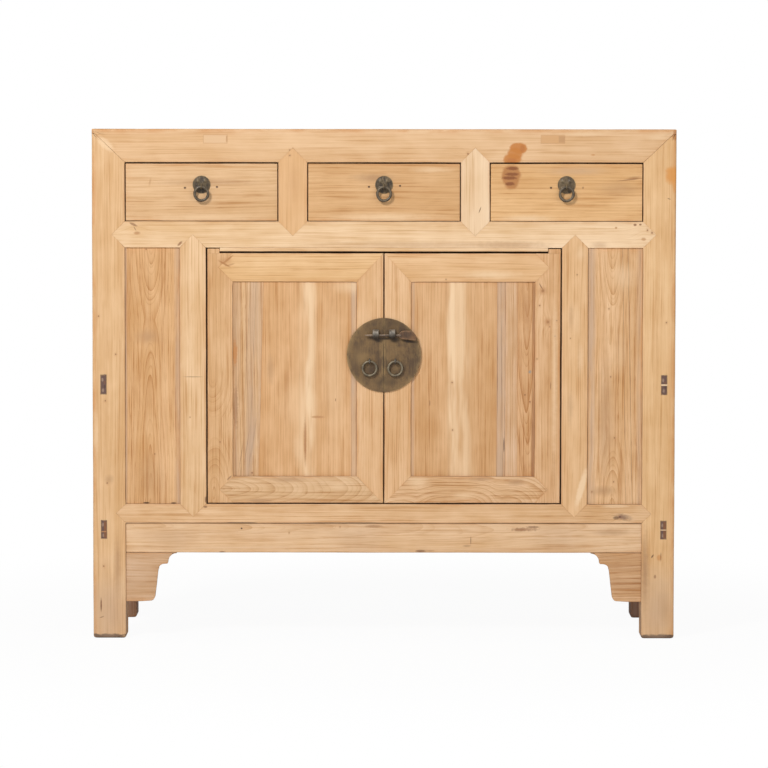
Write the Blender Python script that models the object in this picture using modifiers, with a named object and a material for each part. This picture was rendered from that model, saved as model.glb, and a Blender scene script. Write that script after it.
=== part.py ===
"""A low elm cabinet: three drawers over a pair of pivot-hung doors, in a mitred frame on four posts.

Metres, Z up, the front faces -Y. The origin is on the floor, in the middle of the outer box.
"""

import math
from collections import namedtuple

import bmesh
import bpy
from mathutils import Matrix, Vector

# Frame of the cabinet
WIDTH = 1.100
DEPTH = 0.370
POST = 0.062
FOOT_CHAMFER = 0.005
RAIL_D = 0.045
BACK_RAIL_D = 0.042

# Heights of the front, from the floor up
FOOT_CLEAR = 0.0705
SPANDREL_H = 0.0925
APRON_H = 0.0565
BOTTOM_RAIL_H = 0.036
DOOR_OPENING_H = 0.485
MIDDLE_RAIL_H = 0.0495
DRAWER_OPENING_H = 0.111
TOP_RAIL_H = 0.0625

# Widths across the front
DIVIDER_W = 0.0545
JAMB_W = 0.0495
DOOR_OPENING_W = 0.61 * WIDTH

# Joints in the wood
JOINT_GAP = 0.0003
POINT_LAYER = 0.014
TENON_BACK = 0.022
TENON_T = 0.012
TENON_L = 0.028
TENON_CHEEK = 0.006
PANEL_TONGUE = 0.007
PANEL_T = 0.010
FRONT_PANEL_RECESS = 0.003
SIDE_PANEL_RECESS = 0.003
BACK_PANEL_RECESS = 0.006
CORNER_TENON = 0.018
CORNER_TENON_IN = 0.030
CORNER_TENON_TOP = 0.016

# Top
TOP_PANEL_T = 0.018
TOP_TONGUE = 0.008
TOP_TONGUE_T = 0.005
BATTEN_X = 0.3175
BATTEN_W = 0.045
BATTEN_UNDER = 0.0113
BATTEN_H = 0.0215
BATTEN_TENON_H = 0.015
BATTEN_BLIND = 0.040

# Apron and spandrels
APRON_RECESS = 0.003
APRON_T = 0.016
APRON_TONGUE_T = 0.008
APRON_TONGUE = 0.006
TAIL_OUT = 0.094
STEP_OUT = 0.0785
STEP_DOWN = 0.020
HUMP_OUT = 0.0630
HUMP_DOWN = 0.0285
TOE_OUT = 0.0560

# Sides
SIDE_RAIL_T = 0.042
SIDE_RAIL_H = 0.045
SIDE_RAIL_TOP = 0.229
SIDE_TENON_IN = 0.0147
SIDE_TENON_T = 0.012
SIDE_RAIL_TENON_H = 0.037
SIDE_BATTEN_T = 0.020
SIDE_BATTEN_H = 0.0396
SIDE_BATTEN_Z = 0.479

# Floor of the cupboard and deck under the drawers
FLOOR_T = 0.014
DECK_T = 0.012
DECK_HOUSING = 0.008
GUIDE_H = 0.022
GUIDE_T = 0.016
BEARER_H = 0.036
BEARER_D = 0.030

# Doors
DOOR_T = 0.028
DOOR_RECESS = 0.0015
DOOR_SIDE_GAP = 0.0025
MEETING_GAP = 0.002
DOOR_TOP_GAP = 0.0035
DOOR_BOTTOM_GAP = 0.0022
HINGE_STILE_W = 0.048
MEETING_STILE_W = 0.0505
DOOR_TOP_RAIL_H = 0.054
DOOR_BOTTOM_RAIL_H = 0.0505
DOOR_PANEL_RECESS = 0.0025
STRIP_H = 0.007
STRIP_D = 0.010
PIVOT_IN = 0.016
PIVOT_BACK = 0.0085
PIVOT_R = 0.0065
PIVOT_L = 0.014
PIVOT_CLEAR = 0.0004
SHOULDER_GAP = 0.002

# Drawers
DRAWER_SIDE_GAP = 0.0015
DRAWER_TOP_GAP = 0.0025
DRAWER_BOTTOM_GAP = 0.0008
DRAWER_RECESS = 0.001
DRAWER_FRONT_T = 0.020
DRAWER_BACK_GAP = 0.009
DRAWER_SIDE_T = 0.011
DRAWER_BOX_H = 0.092
DRAWER_BOTTOM_T = 0.008
DRAWER_RUNNER = 0.006
TAIL_L = 0.013
TAIL_ROOT = 0.020
TAIL_TIP = 0.028

# Metalwork
LOCK_R = 0.070
LOCK_Z = 0.538
LOCK_T = 0.002
LOCK_SPLIT = 0.0016
STAPLE_X = 0.0155
STAPLE_UP = 0.0375
STAPLE_W = 0.012
STAPLE_R = 0.010
STAPLE_NECK = 0.003
STAPLE_HOLE = 0.0030
BOLT_R = 0.0022
BOLT_OUT = 0.0060
BOLT_LEFT = 0.0362
BOLT_RIGHT = 0.032
LEAF_END = 0.061
LEAF_H = 0.019
LEAF_T = 0.003
DOOR_RING_X = 0.025
DOOR_RING_DOWN = 0.0115
DOOR_RING_R = 0.0129
DOOR_RING_WIRE = 0.0021
PULL_R = 0.01675
PULL_RIM = 0.001
PULL_DOME = 0.0028
PULL_Z_IN_OPENING = 0.0690
PULL_EYE_DOWN = 0.004
DRAWER_RING_R = 0.0132
DRAWER_RING_WIRE = 0.0023
EYE_HOLE = 0.0029
EYE_WIRE = 0.0013
EYE_OUT = 0.0046

# Stations that follow from the sizes above
SPANDREL_BOTTOM = FOOT_CLEAR
APRON_BOTTOM = SPANDREL_BOTTOM + SPANDREL_H
BOTTOM_RAIL_BOTTOM = APRON_BOTTOM + APRON_H
DOOR_SILL = BOTTOM_RAIL_BOTTOM + BOTTOM_RAIL_H
DOOR_HEAD = DOOR_SILL + DOOR_OPENING_H
DRAWER_FLOOR = DOOR_HEAD + MIDDLE_RAIL_H
DRAWER_HEAD = DRAWER_FLOOR + DRAWER_OPENING_H
HEIGHT = DRAWER_HEAD + TOP_RAIL_H

DOOR_PLATE_LIFT = JOINT_GAP + LOCK_T - DOOR_RECESS
PROUD = DOOR_PLATE_LIFT + STAPLE_NECK + STAPLE_R
FRONT = (PROUD - DEPTH) / 2
BACK = FRONT + DEPTH
OUTER = WIDTH / 2
INNER = OUTER - POST
FRONT_POST_BACK = FRONT + POST
BACK_POST_FRONT = BACK - POST
RAIL_BACK = FRONT + RAIL_D
BACK_PANEL_BACK = BACK - BACK_PANEL_RECESS
BACK_PANEL_FRONT = BACK_PANEL_BACK - PANEL_T
SIDE_PANEL_OUTER = OUTER - SIDE_PANEL_RECESS
SIDE_PANEL_INNER = SIDE_PANEL_OUTER - PANEL_T
JAMB_INNER = DOOR_OPENING_W / 2
JAMB_OUTER = JAMB_INNER + JAMB_W
DRAWER_OPENING_W = (2 * INNER - 2 * DIVIDER_W) / 3
DIVIDER_X = DRAWER_OPENING_W / 2 + DIVIDER_W / 2
DOOR_FACE = FRONT + DOOR_RECESS
DOOR_BOTTOM = DOOR_SILL + DOOR_BOTTOM_GAP
DOOR_TOP = DOOR_HEAD - STRIP_H - DOOR_TOP_GAP
DOOR_OUTER = JAMB_INNER - DOOR_SIDE_GAP
DOOR_INNER = MEETING_GAP / 2
HINGE_STILE_INNER = DOOR_OUTER - HINGE_STILE_W
MEETING_STILE_OUTER = DOOR_INNER + MEETING_STILE_W
PIVOT_X = DOOR_OUTER - PIVOT_IN
PIVOT_Y = DOOR_FACE + PIVOT_BACK
STRIP_HALF = PIVOT_X - PIVOT_R - 0.0012
PLATE_BACK = DOOR_FACE - JOINT_GAP
PLATE_FACE = PLATE_BACK - LOCK_T
STAPLE_Z = LOCK_Z + STAPLE_UP
BOLT_Y = PLATE_FACE - BOLT_OUT
PULL_BACK = FRONT + DRAWER_RECESS - JOINT_GAP
PULL_Z = DRAWER_FLOOR + PULL_Z_IN_OPENING

# A Fit says where the pointed front layer and the tenon of a rail lie in its thickness
Fit = namedtuple("Fit", "face layer tenon_near tenon_t tenon_l cheek")
CARCASS_FIT = Fit(FRONT, POINT_LAYER, FRONT + TENON_BACK, TENON_T, TENON_L, TENON_CHEEK)
DOOR_FIT = Fit(DOOR_FACE, 0.009, DOOR_FACE + 0.0155, 0.008, 0.030, 0.010)
CLEAR = 0.006
RELIEF = 0.0004
SIDES = (("left", -1), ("right", 1))

for old in list(bpy.data.objects):
    bpy.data.objects.remove(old)


def new_collection(name, helper):
    """A collection in the scene; a helper one is left out of renders."""
    made = bpy.data.collections.new(name)
    made.hide_render = helper
    bpy.context.scene.collection.children.link(made)
    return made


PARTS = new_collection("elm_cabinet", False)
TOOLS = new_collection("cutters", True)


def finish(name, colour, roughness, metallic=0.0):
    """A plain Principled material."""
    material = bpy.data.materials.new(name)
    material.use_nodes = True
    shader = material.node_tree.nodes["Principled BSDF"]
    shader.inputs["Base Color"].default_value = (*colour, 1.0)
    shader.inputs["Roughness"].default_value = roughness
    shader.inputs["Metallic"].default_value = metallic
    material.diffuse_color = (*colour, 1.0)
    return material


FRAME_WOOD = finish("elm_frame", (0.78, 0.50, 0.27), 0.55)
PANEL_WOOD = finish("elm_panel", (0.68, 0.41, 0.20), 0.58)
DRAWER_WOOD = finish("elm_drawer", (0.72, 0.45, 0.23), 0.56)
INNER_WOOD = finish("elm_inside", (0.50, 0.31, 0.17), 0.70)
BRASS = finish("aged_brass", (0.24, 0.15, 0.07), 0.42, 1.0)
DARK_BRASS = finish("dark_brass", (0.10, 0.06, 0.03), 0.40, 1.0)
COPPER = finish("brown_copper", (0.26, 0.12, 0.05), 0.45, 1.0)


def place(name, mesh, matrix, material):
    """An object for a mesh: a part if it has a material, otherwise a hidden tool."""
    thing = bpy.data.objects.new(name, mesh)
    thing.matrix_world = matrix
    if material is None:
        thing.hide_render = True
        thing.display_type = "WIRE"
        TOOLS.objects.link(thing)
    else:
        mesh.materials.append(material)
        PARTS.objects.link(thing)
    return thing


def corners(a, b):
    """The lower and upper corner of the box between two opposite corners."""
    low = Vector(min(pair) for pair in zip(a, b))
    high = Vector(max(pair) for pair in zip(a, b))
    return low, high


def timber(name, a, b, material=None):
    """A square-cut board between two opposite corners."""
    low, high = corners(a, b)
    shape = bmesh.new()
    bmesh.ops.create_cube(shape, size=1.0)
    bmesh.ops.scale(shape, vec=high - low, verts=shape.verts)
    mesh = bpy.data.meshes.new(name)
    shape.to_mesh(mesh)
    shape.free()
    return place(name, mesh, Matrix.Translation((low + high) / 2), material)


def rod(name, start, length, radius, direction, segments, material=None):
    """A round bar from a start point along +X, +Y or +Z."""
    shape = bmesh.new()
    bmesh.ops.create_cone(
        shape, cap_ends=True, segments=segments, radius1=radius, radius2=radius, depth=length
    )
    turn = Vector((0, 0, 1)).rotation_difference(Vector(direction)).to_matrix().to_4x4()
    mesh = bpy.data.meshes.new(name)
    shape.to_mesh(mesh)
    shape.free()
    centre = Vector(start) + Vector(direction) * (length / 2)
    return place(name, mesh, Matrix.Translation(centre) @ turn, material)


def plate(name, outlines, plane, near, far, material=None):
    """Flat outlines in the XZ or YZ plane, filled and given thickness along the third axis."""
    curve = bpy.data.curves.new(name, "CURVE")
    curve.dimensions = "2D"
    curve.fill_mode = "BOTH"
    curve.extrude = abs(far - near) / 2
    for outline in outlines:
        spline = curve.splines.new("POLY")
        spline.points.add(len(outline) - 1)
        for point, (across, up) in zip(spline.points, outline):
            point.co = (across, up, 0.0, 1.0)
        spline.use_cyclic_u = True
    if plane == "XZ":
        turn = Matrix(((1, 0, 0, 0), (0, 0, -1, 0), (0, 1, 0, 0), (0, 0, 0, 1)))
        centre = Vector((0, (near + far) / 2, 0))
    else:
        turn = Matrix(((0, 0, 1, 0), (1, 0, 0, 0), (0, 1, 0, 0), (0, 0, 0, 1)))
        centre = Vector(((near + far) / 2, 0, 0))
    source = bpy.data.objects.new(name + "_outline", curve)
    bpy.context.scene.collection.objects.link(source)
    bpy.context.view_layer.update()
    graph = bpy.context.evaluated_depsgraph_get()
    mesh = bpy.data.meshes.new_from_object(source.evaluated_get(graph))
    bpy.data.objects.remove(source)
    mesh.name = name
    shape = bmesh.new()
    shape.from_mesh(mesh)
    bmesh.ops.remove_doubles(shape, verts=shape.verts, dist=1e-6)
    bmesh.ops.recalc_face_normals(shape, faces=shape.faces)
    shape.to_mesh(mesh)
    shape.free()
    return place(name, mesh, Matrix.Translation(centre) @ turn, material)


def boolean(host, tool, operation):
    """Adds a tool to a host, or takes it away."""
    step = host.modifiers.new(tool.name, "BOOLEAN")
    step.operation = operation
    step.solver = "EXACT"
    step.object = tool
    return host


def tool_name(host, what):
    return f"{host.name}_{what}_{len(host.modifiers)}"


def add_box(host, a, b):
    return boolean(host, timber(tool_name(host, "add"), a, b), "UNION")


def cut_box(host, a, b, gap=JOINT_GAP):
    """Takes a box away from a host, grown by the joint's gap on every side."""
    low, high = corners(a, b)
    grow = Vector((gap, gap, gap))
    return boolean(host, timber(tool_name(host, "cut"), low - grow, high + grow), "DIFFERENCE")


def trim(thing, point, normal):
    """Cuts a convex board by a plane, drops the side the normal points to and closes the cut."""
    shape = bmesh.new()
    shape.from_mesh(thing.data)
    everything = shape.verts[:] + shape.edges[:] + shape.faces[:]
    bmesh.ops.bisect_plane(
        shape,
        geom=everything,
        plane_co=Vector(point) - thing.location,
        plane_no=Vector(normal),
        clear_outer=True,
    )
    bmesh.ops.holes_fill(shape, edges=[edge for edge in shape.edges if edge.is_boundary])
    bmesh.ops.recalc_face_normals(shape, faces=shape.faces)
    shape.to_mesh(thing.data)
    shape.free()


def on_plane(along, length, across):
    """A point of the front plane from a length along a rail and a distance across it."""
    return (length, across) if along == "X" else (across, length)


def rail_box(along, start, end, low, high, near, far):
    """Two opposite corners of a box that lies along X or along Z."""
    if along == "X":
        return (start, near, low), (end, far, high)
    return (low, near, start), (high, far, end)


def tenon_box(along, shoulder, way, low, high, fit, root):
    """Corners of the tenon that leaves a shoulder in the direction given by way."""
    return rail_box(
        along,
        shoulder - way * root,
        shoulder + way * fit.tenon_l,
        low + fit.cheek,
        high - fit.cheek,
        fit.tenon_near,
        fit.tenon_near + fit.tenon_t,
    )


def pointed_rail(name, along, start, end, low, high, fit, thick, material):
    """A rail or upright with a square body, tenons, and a front layer that ends in 45 degree points."""
    half = (high - low) / 2
    middle = (high + low) / 2
    outline = [
        on_plane(along, start, low),
        on_plane(along, end, low),
        on_plane(along, end + half, middle),
        on_plane(along, end, high),
        on_plane(along, start, high),
        on_plane(along, start - half, middle),
    ]
    rail = plate(name, [outline], "XZ", fit.face, fit.face + thick, material)
    for shoulder, way in ((start, -1), (end, 1)):
        relieve(rail, along, shoulder, way, low, high, fit, thick)
        add_box(rail, *tenon_box(along, shoulder, way, low, high, fit, CLEAR))
    return rail


def relieve(rail, along, shoulder, way, low, high, fit, thick):
    """Cuts a pointed end back to a square shoulder behind its front layer."""
    reach = shoulder + way * ((high - low) / 2 + CLEAR)
    behind = fit.face + fit.layer
    corner_a, corner_b = rail_box(
        along, shoulder - way * RELIEF, reach, low - CLEAR, high + CLEAR, behind, behind + thick
    )
    cut_box(rail, corner_a, corner_b, 0)


def let_in(host, along, shoulder, way, low, high, fit):
    """Cuts the notch and the mortise for one end of a pointed rail."""
    tip = (high - low) / 2 + JOINT_GAP * math.sqrt(2)
    middle = (high + low) / 2
    outline = [
        on_plane(along, shoulder - way * CLEAR, middle - tip - CLEAR),
        on_plane(along, shoulder + way * tip, middle),
        on_plane(along, shoulder - way * CLEAR, middle + tip + CLEAR),
    ]
    name = tool_name(host, "notch")
    notch = plate(name, [outline], "XZ", fit.face - CLEAR, fit.face + fit.layer + JOINT_GAP)
    boolean(host, notch, "DIFFERENCE")
    cut_box(host, *tenon_box(along, shoulder, way, low, high, fit, CLEAR))


def groove(panel, hosts):
    """Cuts each host for the edges of a panel, given by its two corners."""
    for host in hosts:
        cut_box(host, *panel)


def ring(name, axis_point, radius, wire, material):
    """A ring that hangs in the front plane, with its origin on the axis that it swings about."""
    bpy.ops.mesh.primitive_torus_add(
        major_radius=radius, minor_radius=wire, major_segments=28, minor_segments=10
    )
    source = bpy.context.active_object
    mesh = source.data
    bpy.data.objects.remove(source)
    mesh.transform(Matrix.Translation((0, 0, -radius)) @ Matrix.Rotation(math.pi / 2, 4, "X"))
    mesh.name = name
    return place(name, mesh, Matrix.Translation(axis_point), material)


def eye(host, centre):
    """Adds the loop that carries a ring, in the plane across the ring's axis."""
    bpy.ops.mesh.primitive_torus_add(
        major_radius=EYE_HOLE + EYE_WIRE, minor_radius=EYE_WIRE, major_segments=20, minor_segments=8
    )
    source = bpy.context.active_object
    mesh = source.data
    bpy.data.objects.remove(source)
    mesh.transform(Matrix.Rotation(math.pi / 2, 4, "Y"))
    loop = place(tool_name(host, "eye"), mesh, Matrix.Translation(centre), None)
    boolean(host, loop, "UNION")


def arc(centre, radii, start, end, count):
    """Points on part of an ellipse, angles in degrees."""
    steps = [math.radians(start + (end - start) * i / count) for i in range(count + 1)]
    return [
        (centre[0] + radii[0] * math.cos(turn), centre[1] + radii[1] * math.sin(turn))
        for turn in steps
    ]


def group(name, where, things):
    """An empty on a joint's axis that carries the pieces that move together."""
    carrier = bpy.data.objects.new(name, None)
    carrier.location = where
    PARTS.objects.link(carrier)
    for thing in things:
        thing.parent = carrier
        thing.matrix_parent_inverse = Matrix.Translation(where).inverted()
    return carrier


# Posts, with the foot chamfer, the upper part of the three-way mitre and its tenon
def make_post(name, side, rear):
    """A square post whose top is a low pyramid leaning to the outer corner."""
    outer_y = BACK if rear else FRONT
    inward_y = -1 if rear else 1
    post = timber(
        name,
        (side * OUTER, outer_y, 0),
        (side * INNER, outer_y + inward_y * POST, HEIGHT),
        FRAME_WOOD,
    )
    shape = bmesh.new()
    shape.from_mesh(post.data)
    floor = min(vert.co.z for vert in shape.verts)
    feet = [edge for edge in shape.edges if all(vert.co.z < floor + 1e-5 for vert in edge.verts)]
    bmesh.ops.bevel(shape, geom=feet, offset=FOOT_CHAMFER, segments=1, affect="EDGES")
    shape.to_mesh(post.data)
    shape.free()
    corner = Vector((side * OUTER, outer_y, HEIGHT - JOINT_GAP))
    trim(post, corner, (-side * TOP_RAIL_H, 0, POST))
    trim(post, corner, (0, inward_y * TOP_RAIL_H, POST))
    add_box(post, *corner_tenon(side, rear))
    return post


def corner_tenon(side, rear):
    """Corners of the hidden tenon on top of a post."""
    outer_y = BACK if rear else FRONT
    inward_y = -1 if rear else 1
    near = CORNER_TENON_IN
    far = CORNER_TENON_IN + CORNER_TENON
    return (
        (side * (OUTER - near), outer_y + inward_y * near, DRAWER_HEAD - CLEAR),
        (side * (OUTER - far), outer_y + inward_y * far, HEIGHT - CORNER_TENON_TOP),
    )


posts = {}
for label, side in SIDES:
    posts["front", side] = make_post(f"post_front_{label}", side, False)
    posts["back", side] = make_post(f"post_back_{label}", side, True)

# Top frame: each rail ends in two mitres that meet the post and the next rail
top_front = timber(
    "top_rail_front", (-OUTER, FRONT, DRAWER_HEAD), (OUTER, FRONT_POST_BACK, HEIGHT), FRAME_WOOD
)
top_back = timber(
    "top_rail_back", (-OUTER, BACK_POST_FRONT, DRAWER_HEAD), (OUTER, BACK, HEIGHT), FRAME_WOOD
)
for rail, outer_y, inward_y in ((top_front, FRONT, 1), (top_back, BACK, -1)):
    for label, side in SIDES:
        corner = Vector((side * (OUTER - JOINT_GAP / 2), outer_y, HEIGHT))
        trim(rail, corner, (side, inward_y, 0))
        trim(rail, corner, (side * TOP_RAIL_H, 0, -POST))
top_sides = {}
for label, side in SIDES:
    rail = timber(
        f"top_rail_{label}",
        (side * OUTER, FRONT, DRAWER_HEAD),
        (side * INNER, BACK, HEIGHT),
        FRAME_WOOD,
    )
    for outer_y, inward_y in ((FRONT, 1), (BACK, -1)):
        corner = Vector((side * OUTER, outer_y + inward_y * JOINT_GAP / 2, HEIGHT))
        trim(rail, corner, (-side, -inward_y, 0))
        trim(rail, corner, (0, -inward_y * TOP_RAIL_H, -POST))
    top_sides[side] = rail
top_rails = [top_front, top_back, top_sides[-1], top_sides[1]]
for label, side in SIDES:
    for rail, rear in ((top_front, False), (top_back, True)):
        cut_box(rail, *corner_tenon(side, rear))
        cut_box(top_sides[side], *corner_tenon(side, rear))

# Top panel with a tongue all round, and the two battens that cross under it
field_x = INNER - JOINT_GAP
field_front = FRONT_POST_BACK + JOINT_GAP
field_back = BACK_POST_FRONT - JOINT_GAP
top_panel = timber(
    "top_panel",
    (-field_x, field_front, HEIGHT - TOP_PANEL_T),
    (field_x, field_back, HEIGHT),
    PANEL_WOOD,
)
top_tongue = (
    (-INNER - TOP_TONGUE, FRONT_POST_BACK - TOP_TONGUE, HEIGHT - TOP_PANEL_T),
    (INNER + TOP_TONGUE, BACK_POST_FRONT + TOP_TONGUE, HEIGHT - TOP_PANEL_T + TOP_TONGUE_T),
)
add_box(top_panel, *top_tongue)
groove(top_tongue, top_rails)
for label, side in SIDES:
    left = side * BATTEN_X - BATTEN_W / 2
    right = side * BATTEN_X + BATTEN_W / 2
    upper = HEIGHT - BATTEN_UNDER
    batten = timber(
        f"top_batten_{label}",
        (left, field_front, upper - BATTEN_H),
        (right, field_back, upper),
        INNER_WOOD,
    )
    tenon_low = upper - BATTEN_TENON_H
    through = ((left, FRONT, tenon_low), (right, field_front + CLEAR, upper))
    blind = ((left, field_back - CLEAR, tenon_low), (right, BACK_POST_FRONT + BATTEN_BLIND, upper))
    add_box(batten, *through)
    add_box(batten, *blind)
    cut_box(top_front, *through)
    cut_box(top_back, *blind)
    cut_box(top_panel, (left, FRONT, upper - BATTEN_H), (right, BACK, upper))

# Middle rail, its lower strip, and the bottom rail, all between the front posts
span = INNER - JOINT_GAP
middle_rail = pointed_rail(
    "middle_rail", "X", -span, span, DOOR_HEAD, DRAWER_FLOOR, CARCASS_FIT, RAIL_D, FRAME_WOOD
)
timber(
    "door_head_strip",
    (-STRIP_HALF, FRONT, DOOR_HEAD - STRIP_H),
    (STRIP_HALF, FRONT + STRIP_D, DOOR_HEAD - JOINT_GAP),
    FRAME_WOOD,
)
bottom_rail = pointed_rail(
    "bottom_rail", "X", -span, span, BOTTOM_RAIL_BOTTOM, DOOR_SILL, CARCASS_FIT, RAIL_D, FRAME_WOOD
)
for label, side in SIDES:
    front_post = posts["front", side]
    let_in(front_post, "X", side * span, side, DOOR_HEAD, DRAWER_FLOOR, CARCASS_FIT)
    let_in(front_post, "X", side * span, side, BOTTOM_RAIL_BOTTOM, DOOR_SILL, CARCASS_FIT)

# Uprights: drawer dividers and door jambs
jambs = {}
for label, side in SIDES:
    low, high = sorted((side * (DIVIDER_X - DIVIDER_W / 2), side * (DIVIDER_X + DIVIDER_W / 2)))
    foot = DRAWER_FLOOR + JOINT_GAP
    head = DRAWER_HEAD - JOINT_GAP
    pointed_rail(
        f"drawer_divider_{label}", "Z", foot, head, low, high, CARCASS_FIT, RAIL_D, FRAME_WOOD
    )
    let_in(top_front, "Z", head, 1, low, high, CARCASS_FIT)
    let_in(middle_rail, "Z", foot, -1, low, high, CARCASS_FIT)
    low, high = sorted((side * JAMB_INNER, side * JAMB_OUTER))
    foot = DOOR_SILL + JOINT_GAP
    head = DOOR_HEAD - JOINT_GAP
    jambs[side] = pointed_rail(
        f"door_jamb_{label}", "Z", foot, head, low, high, CARCASS_FIT, RAIL_D, FRAME_WOOD
    )
    let_in(middle_rail, "Z", head, 1, low, high, CARCASS_FIT)
    let_in(bottom_rail, "Z", foot, -1, low, high, CARCASS_FIT)

# Fixed front panels beside the doors
for label, side in SIDES:
    panel = (
        (side * (JAMB_OUTER - PANEL_TONGUE), FRONT + FRONT_PANEL_RECESS, DOOR_SILL - PANEL_TONGUE),
        (
            side * (INNER + PANEL_TONGUE),
            FRONT + FRONT_PANEL_RECESS + PANEL_T,
            DOOR_HEAD + PANEL_TONGUE,
        ),
    )
    timber(f"front_panel_{label}", *panel, PANEL_WOOD)
    groove(panel, [posts["front", side], jambs[side], middle_rail, bottom_rail])

# Apron with its tongue, and the shaped spandrels under it
apron_front = FRONT + APRON_RECESS
apron_back = apron_front + APRON_T
tongue_front = apron_front + (APRON_T - APRON_TONGUE_T) / 2
tongue_back = tongue_front + APRON_TONGUE_T
apron = timber(
    "apron",
    (-span, apron_front, APRON_BOTTOM),
    (span, apron_back, BOTTOM_RAIL_BOTTOM - JOINT_GAP),
    FRAME_WOOD,
)
apron_tongue = (
    (-INNER + POST, tongue_front, BOTTOM_RAIL_BOTTOM - CLEAR),
    (INNER - POST, tongue_back, BOTTOM_RAIL_BOTTOM + APRON_TONGUE),
)
add_box(apron, *apron_tongue)
cut_box(bottom_rail, *apron_tongue)


def spandrel_outline():
    """Distance out from the post and down from the apron: tail, step, hump and rounded toe."""
    toe_down = SPANDREL_H * 0.76
    outline = [(0.0, 0.0), (TAIL_OUT, 0.0)]
    outline += arc((TAIL_OUT, STEP_DOWN), (TAIL_OUT - STEP_OUT, STEP_DOWN * 0.9), 270, 180, 7)
    outline += arc(
        (STEP_OUT - 0.003, HUMP_DOWN), (STEP_OUT - 0.003 - HUMP_OUT, HUMP_DOWN - STEP_DOWN), 270, 180, 4
    )
    outline += arc((TOE_OUT * 0.55, toe_down), (TOE_OUT * 0.45, SPANDREL_H - toe_down), 0, 90, 7)
    outline.append((0.0, SPANDREL_H))
    return outline


for label, side in SIDES:
    spandrel_top = APRON_BOTTOM - JOINT_GAP
    outline = [(side * (span - out), spandrel_top - down) for out, down in spandrel_outline()]
    spandrel = plate(f"spandrel_{label}", [outline], "XZ", apron_front, apron_back, FRAME_WOOD)
    tongue = (
        (side * (INNER - CLEAR), tongue_front, SPANDREL_BOTTOM + CLEAR * 2),
        (side * (INNER + APRON_TONGUE), tongue_back, APRON_BOTTOM - CLEAR * 2),
    )
    add_box(spandrel, *tongue)
    cut_box(posts["front", side], *tongue)

# Sides: lower rail and batten with through tenons, and the panel between
side_front = FRONT_POST_BACK + JOINT_GAP
side_back = BACK_POST_FRONT - JOINT_GAP
side_rails = {}
for label, side in SIDES:
    side_posts = [posts["front", side], posts["back", side]]
    tenon_outer = side * (OUTER - SIDE_TENON_IN)
    tenon_inner = side * (OUTER - SIDE_TENON_IN - SIDE_TENON_T)
    rail = timber(
        f"side_rail_lower_{label}",
        (side * OUTER, side_front, SIDE_RAIL_TOP - SIDE_RAIL_H),
        (side * (OUTER - SIDE_RAIL_T), side_back, SIDE_RAIL_TOP),
        FRAME_WOOD,
    )
    rail_middle = SIDE_RAIL_TOP - SIDE_RAIL_H / 2
    through = (
        (tenon_outer, FRONT, rail_middle - SIDE_RAIL_TENON_H / 2),
        (tenon_inner, BACK, rail_middle + SIDE_RAIL_TENON_H / 2),
    )
    add_box(rail, *through)
    groove(through, side_posts)
    side_rails[side] = rail
    batten_outer = SIDE_PANEL_INNER - JOINT_GAP
    batten = timber(
        f"side_batten_{label}",
        (side * batten_outer, side_front, SIDE_BATTEN_Z - SIDE_BATTEN_H / 2),
        (side * (batten_outer - SIDE_BATTEN_T), side_back, SIDE_BATTEN_Z + SIDE_BATTEN_H / 2),
        INNER_WOOD,
    )
    through = (
        (tenon_outer, FRONT, SIDE_BATTEN_Z - SIDE_BATTEN_H / 2),
        (tenon_inner, BACK, SIDE_BATTEN_Z + SIDE_BATTEN_H / 2),
    )
    add_box(batten, *through)
    groove(through, side_posts)
    panel = (
        (side * SIDE_PANEL_OUTER, FRONT_POST_BACK - PANEL_TONGUE, SIDE_RAIL_TOP - PANEL_TONGUE),
        (side * SIDE_PANEL_INNER, BACK_POST_FRONT + PANEL_TONGUE, DRAWER_HEAD + PANEL_TONGUE),
    )
    timber(f"side_panel_{label}", *panel, PANEL_WOOD)
    groove(panel, side_posts + [rail, top_sides[side]])

# Back: lower rail and panel
back_rail = timber(
    "back_rail_lower",
    (-span, BACK - BACK_RAIL_D, BOTTOM_RAIL_BOTTOM),
    (span, BACK, DOOR_SILL),
    FRAME_WOOD,
)
back_tenon_near = BACK - BACK_RAIL_D / 2 - TENON_T / 2
for label, side in SIDES:
    tenon = (
        (side * (span - CLEAR), back_tenon_near, BOTTOM_RAIL_BOTTOM + TENON_CHEEK),
        (side * (span + TENON_L), back_tenon_near + TENON_T, DOOR_SILL - TENON_CHEEK),
    )
    add_box(back_rail, *tenon)
    cut_box(posts["back", side], *tenon)
back_panel = (
    (-INNER - PANEL_TONGUE, BACK_PANEL_FRONT, DOOR_SILL - PANEL_TONGUE),
    (INNER + PANEL_TONGUE, BACK_PANEL_BACK, DRAWER_HEAD + PANEL_TONGUE),
)
timber("back_panel", *back_panel, PANEL_WOOD)
groove(back_panel, [posts["back", -1], posts["back", 1], top_back, back_rail])

# Floor of the cupboard: it lies on the side rails and is grooved into the front and back rails
floor_low = SIDE_RAIL_TOP + JOINT_GAP
wide = SIDE_PANEL_INNER - JOINT_GAP
floor_long = (
    (-span, RAIL_BACK - PANEL_TONGUE, floor_low),
    (span, BACK - BACK_RAIL_D + PANEL_TONGUE, floor_low + FLOOR_T),
)
floor_board = timber("floor_board", *floor_long, INNER_WOOD)
add_box(floor_board, (-wide, side_front, floor_low), (wide, side_back, floor_low + FLOOR_T))
groove(floor_long, [bottom_rail, back_rail])

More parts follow.
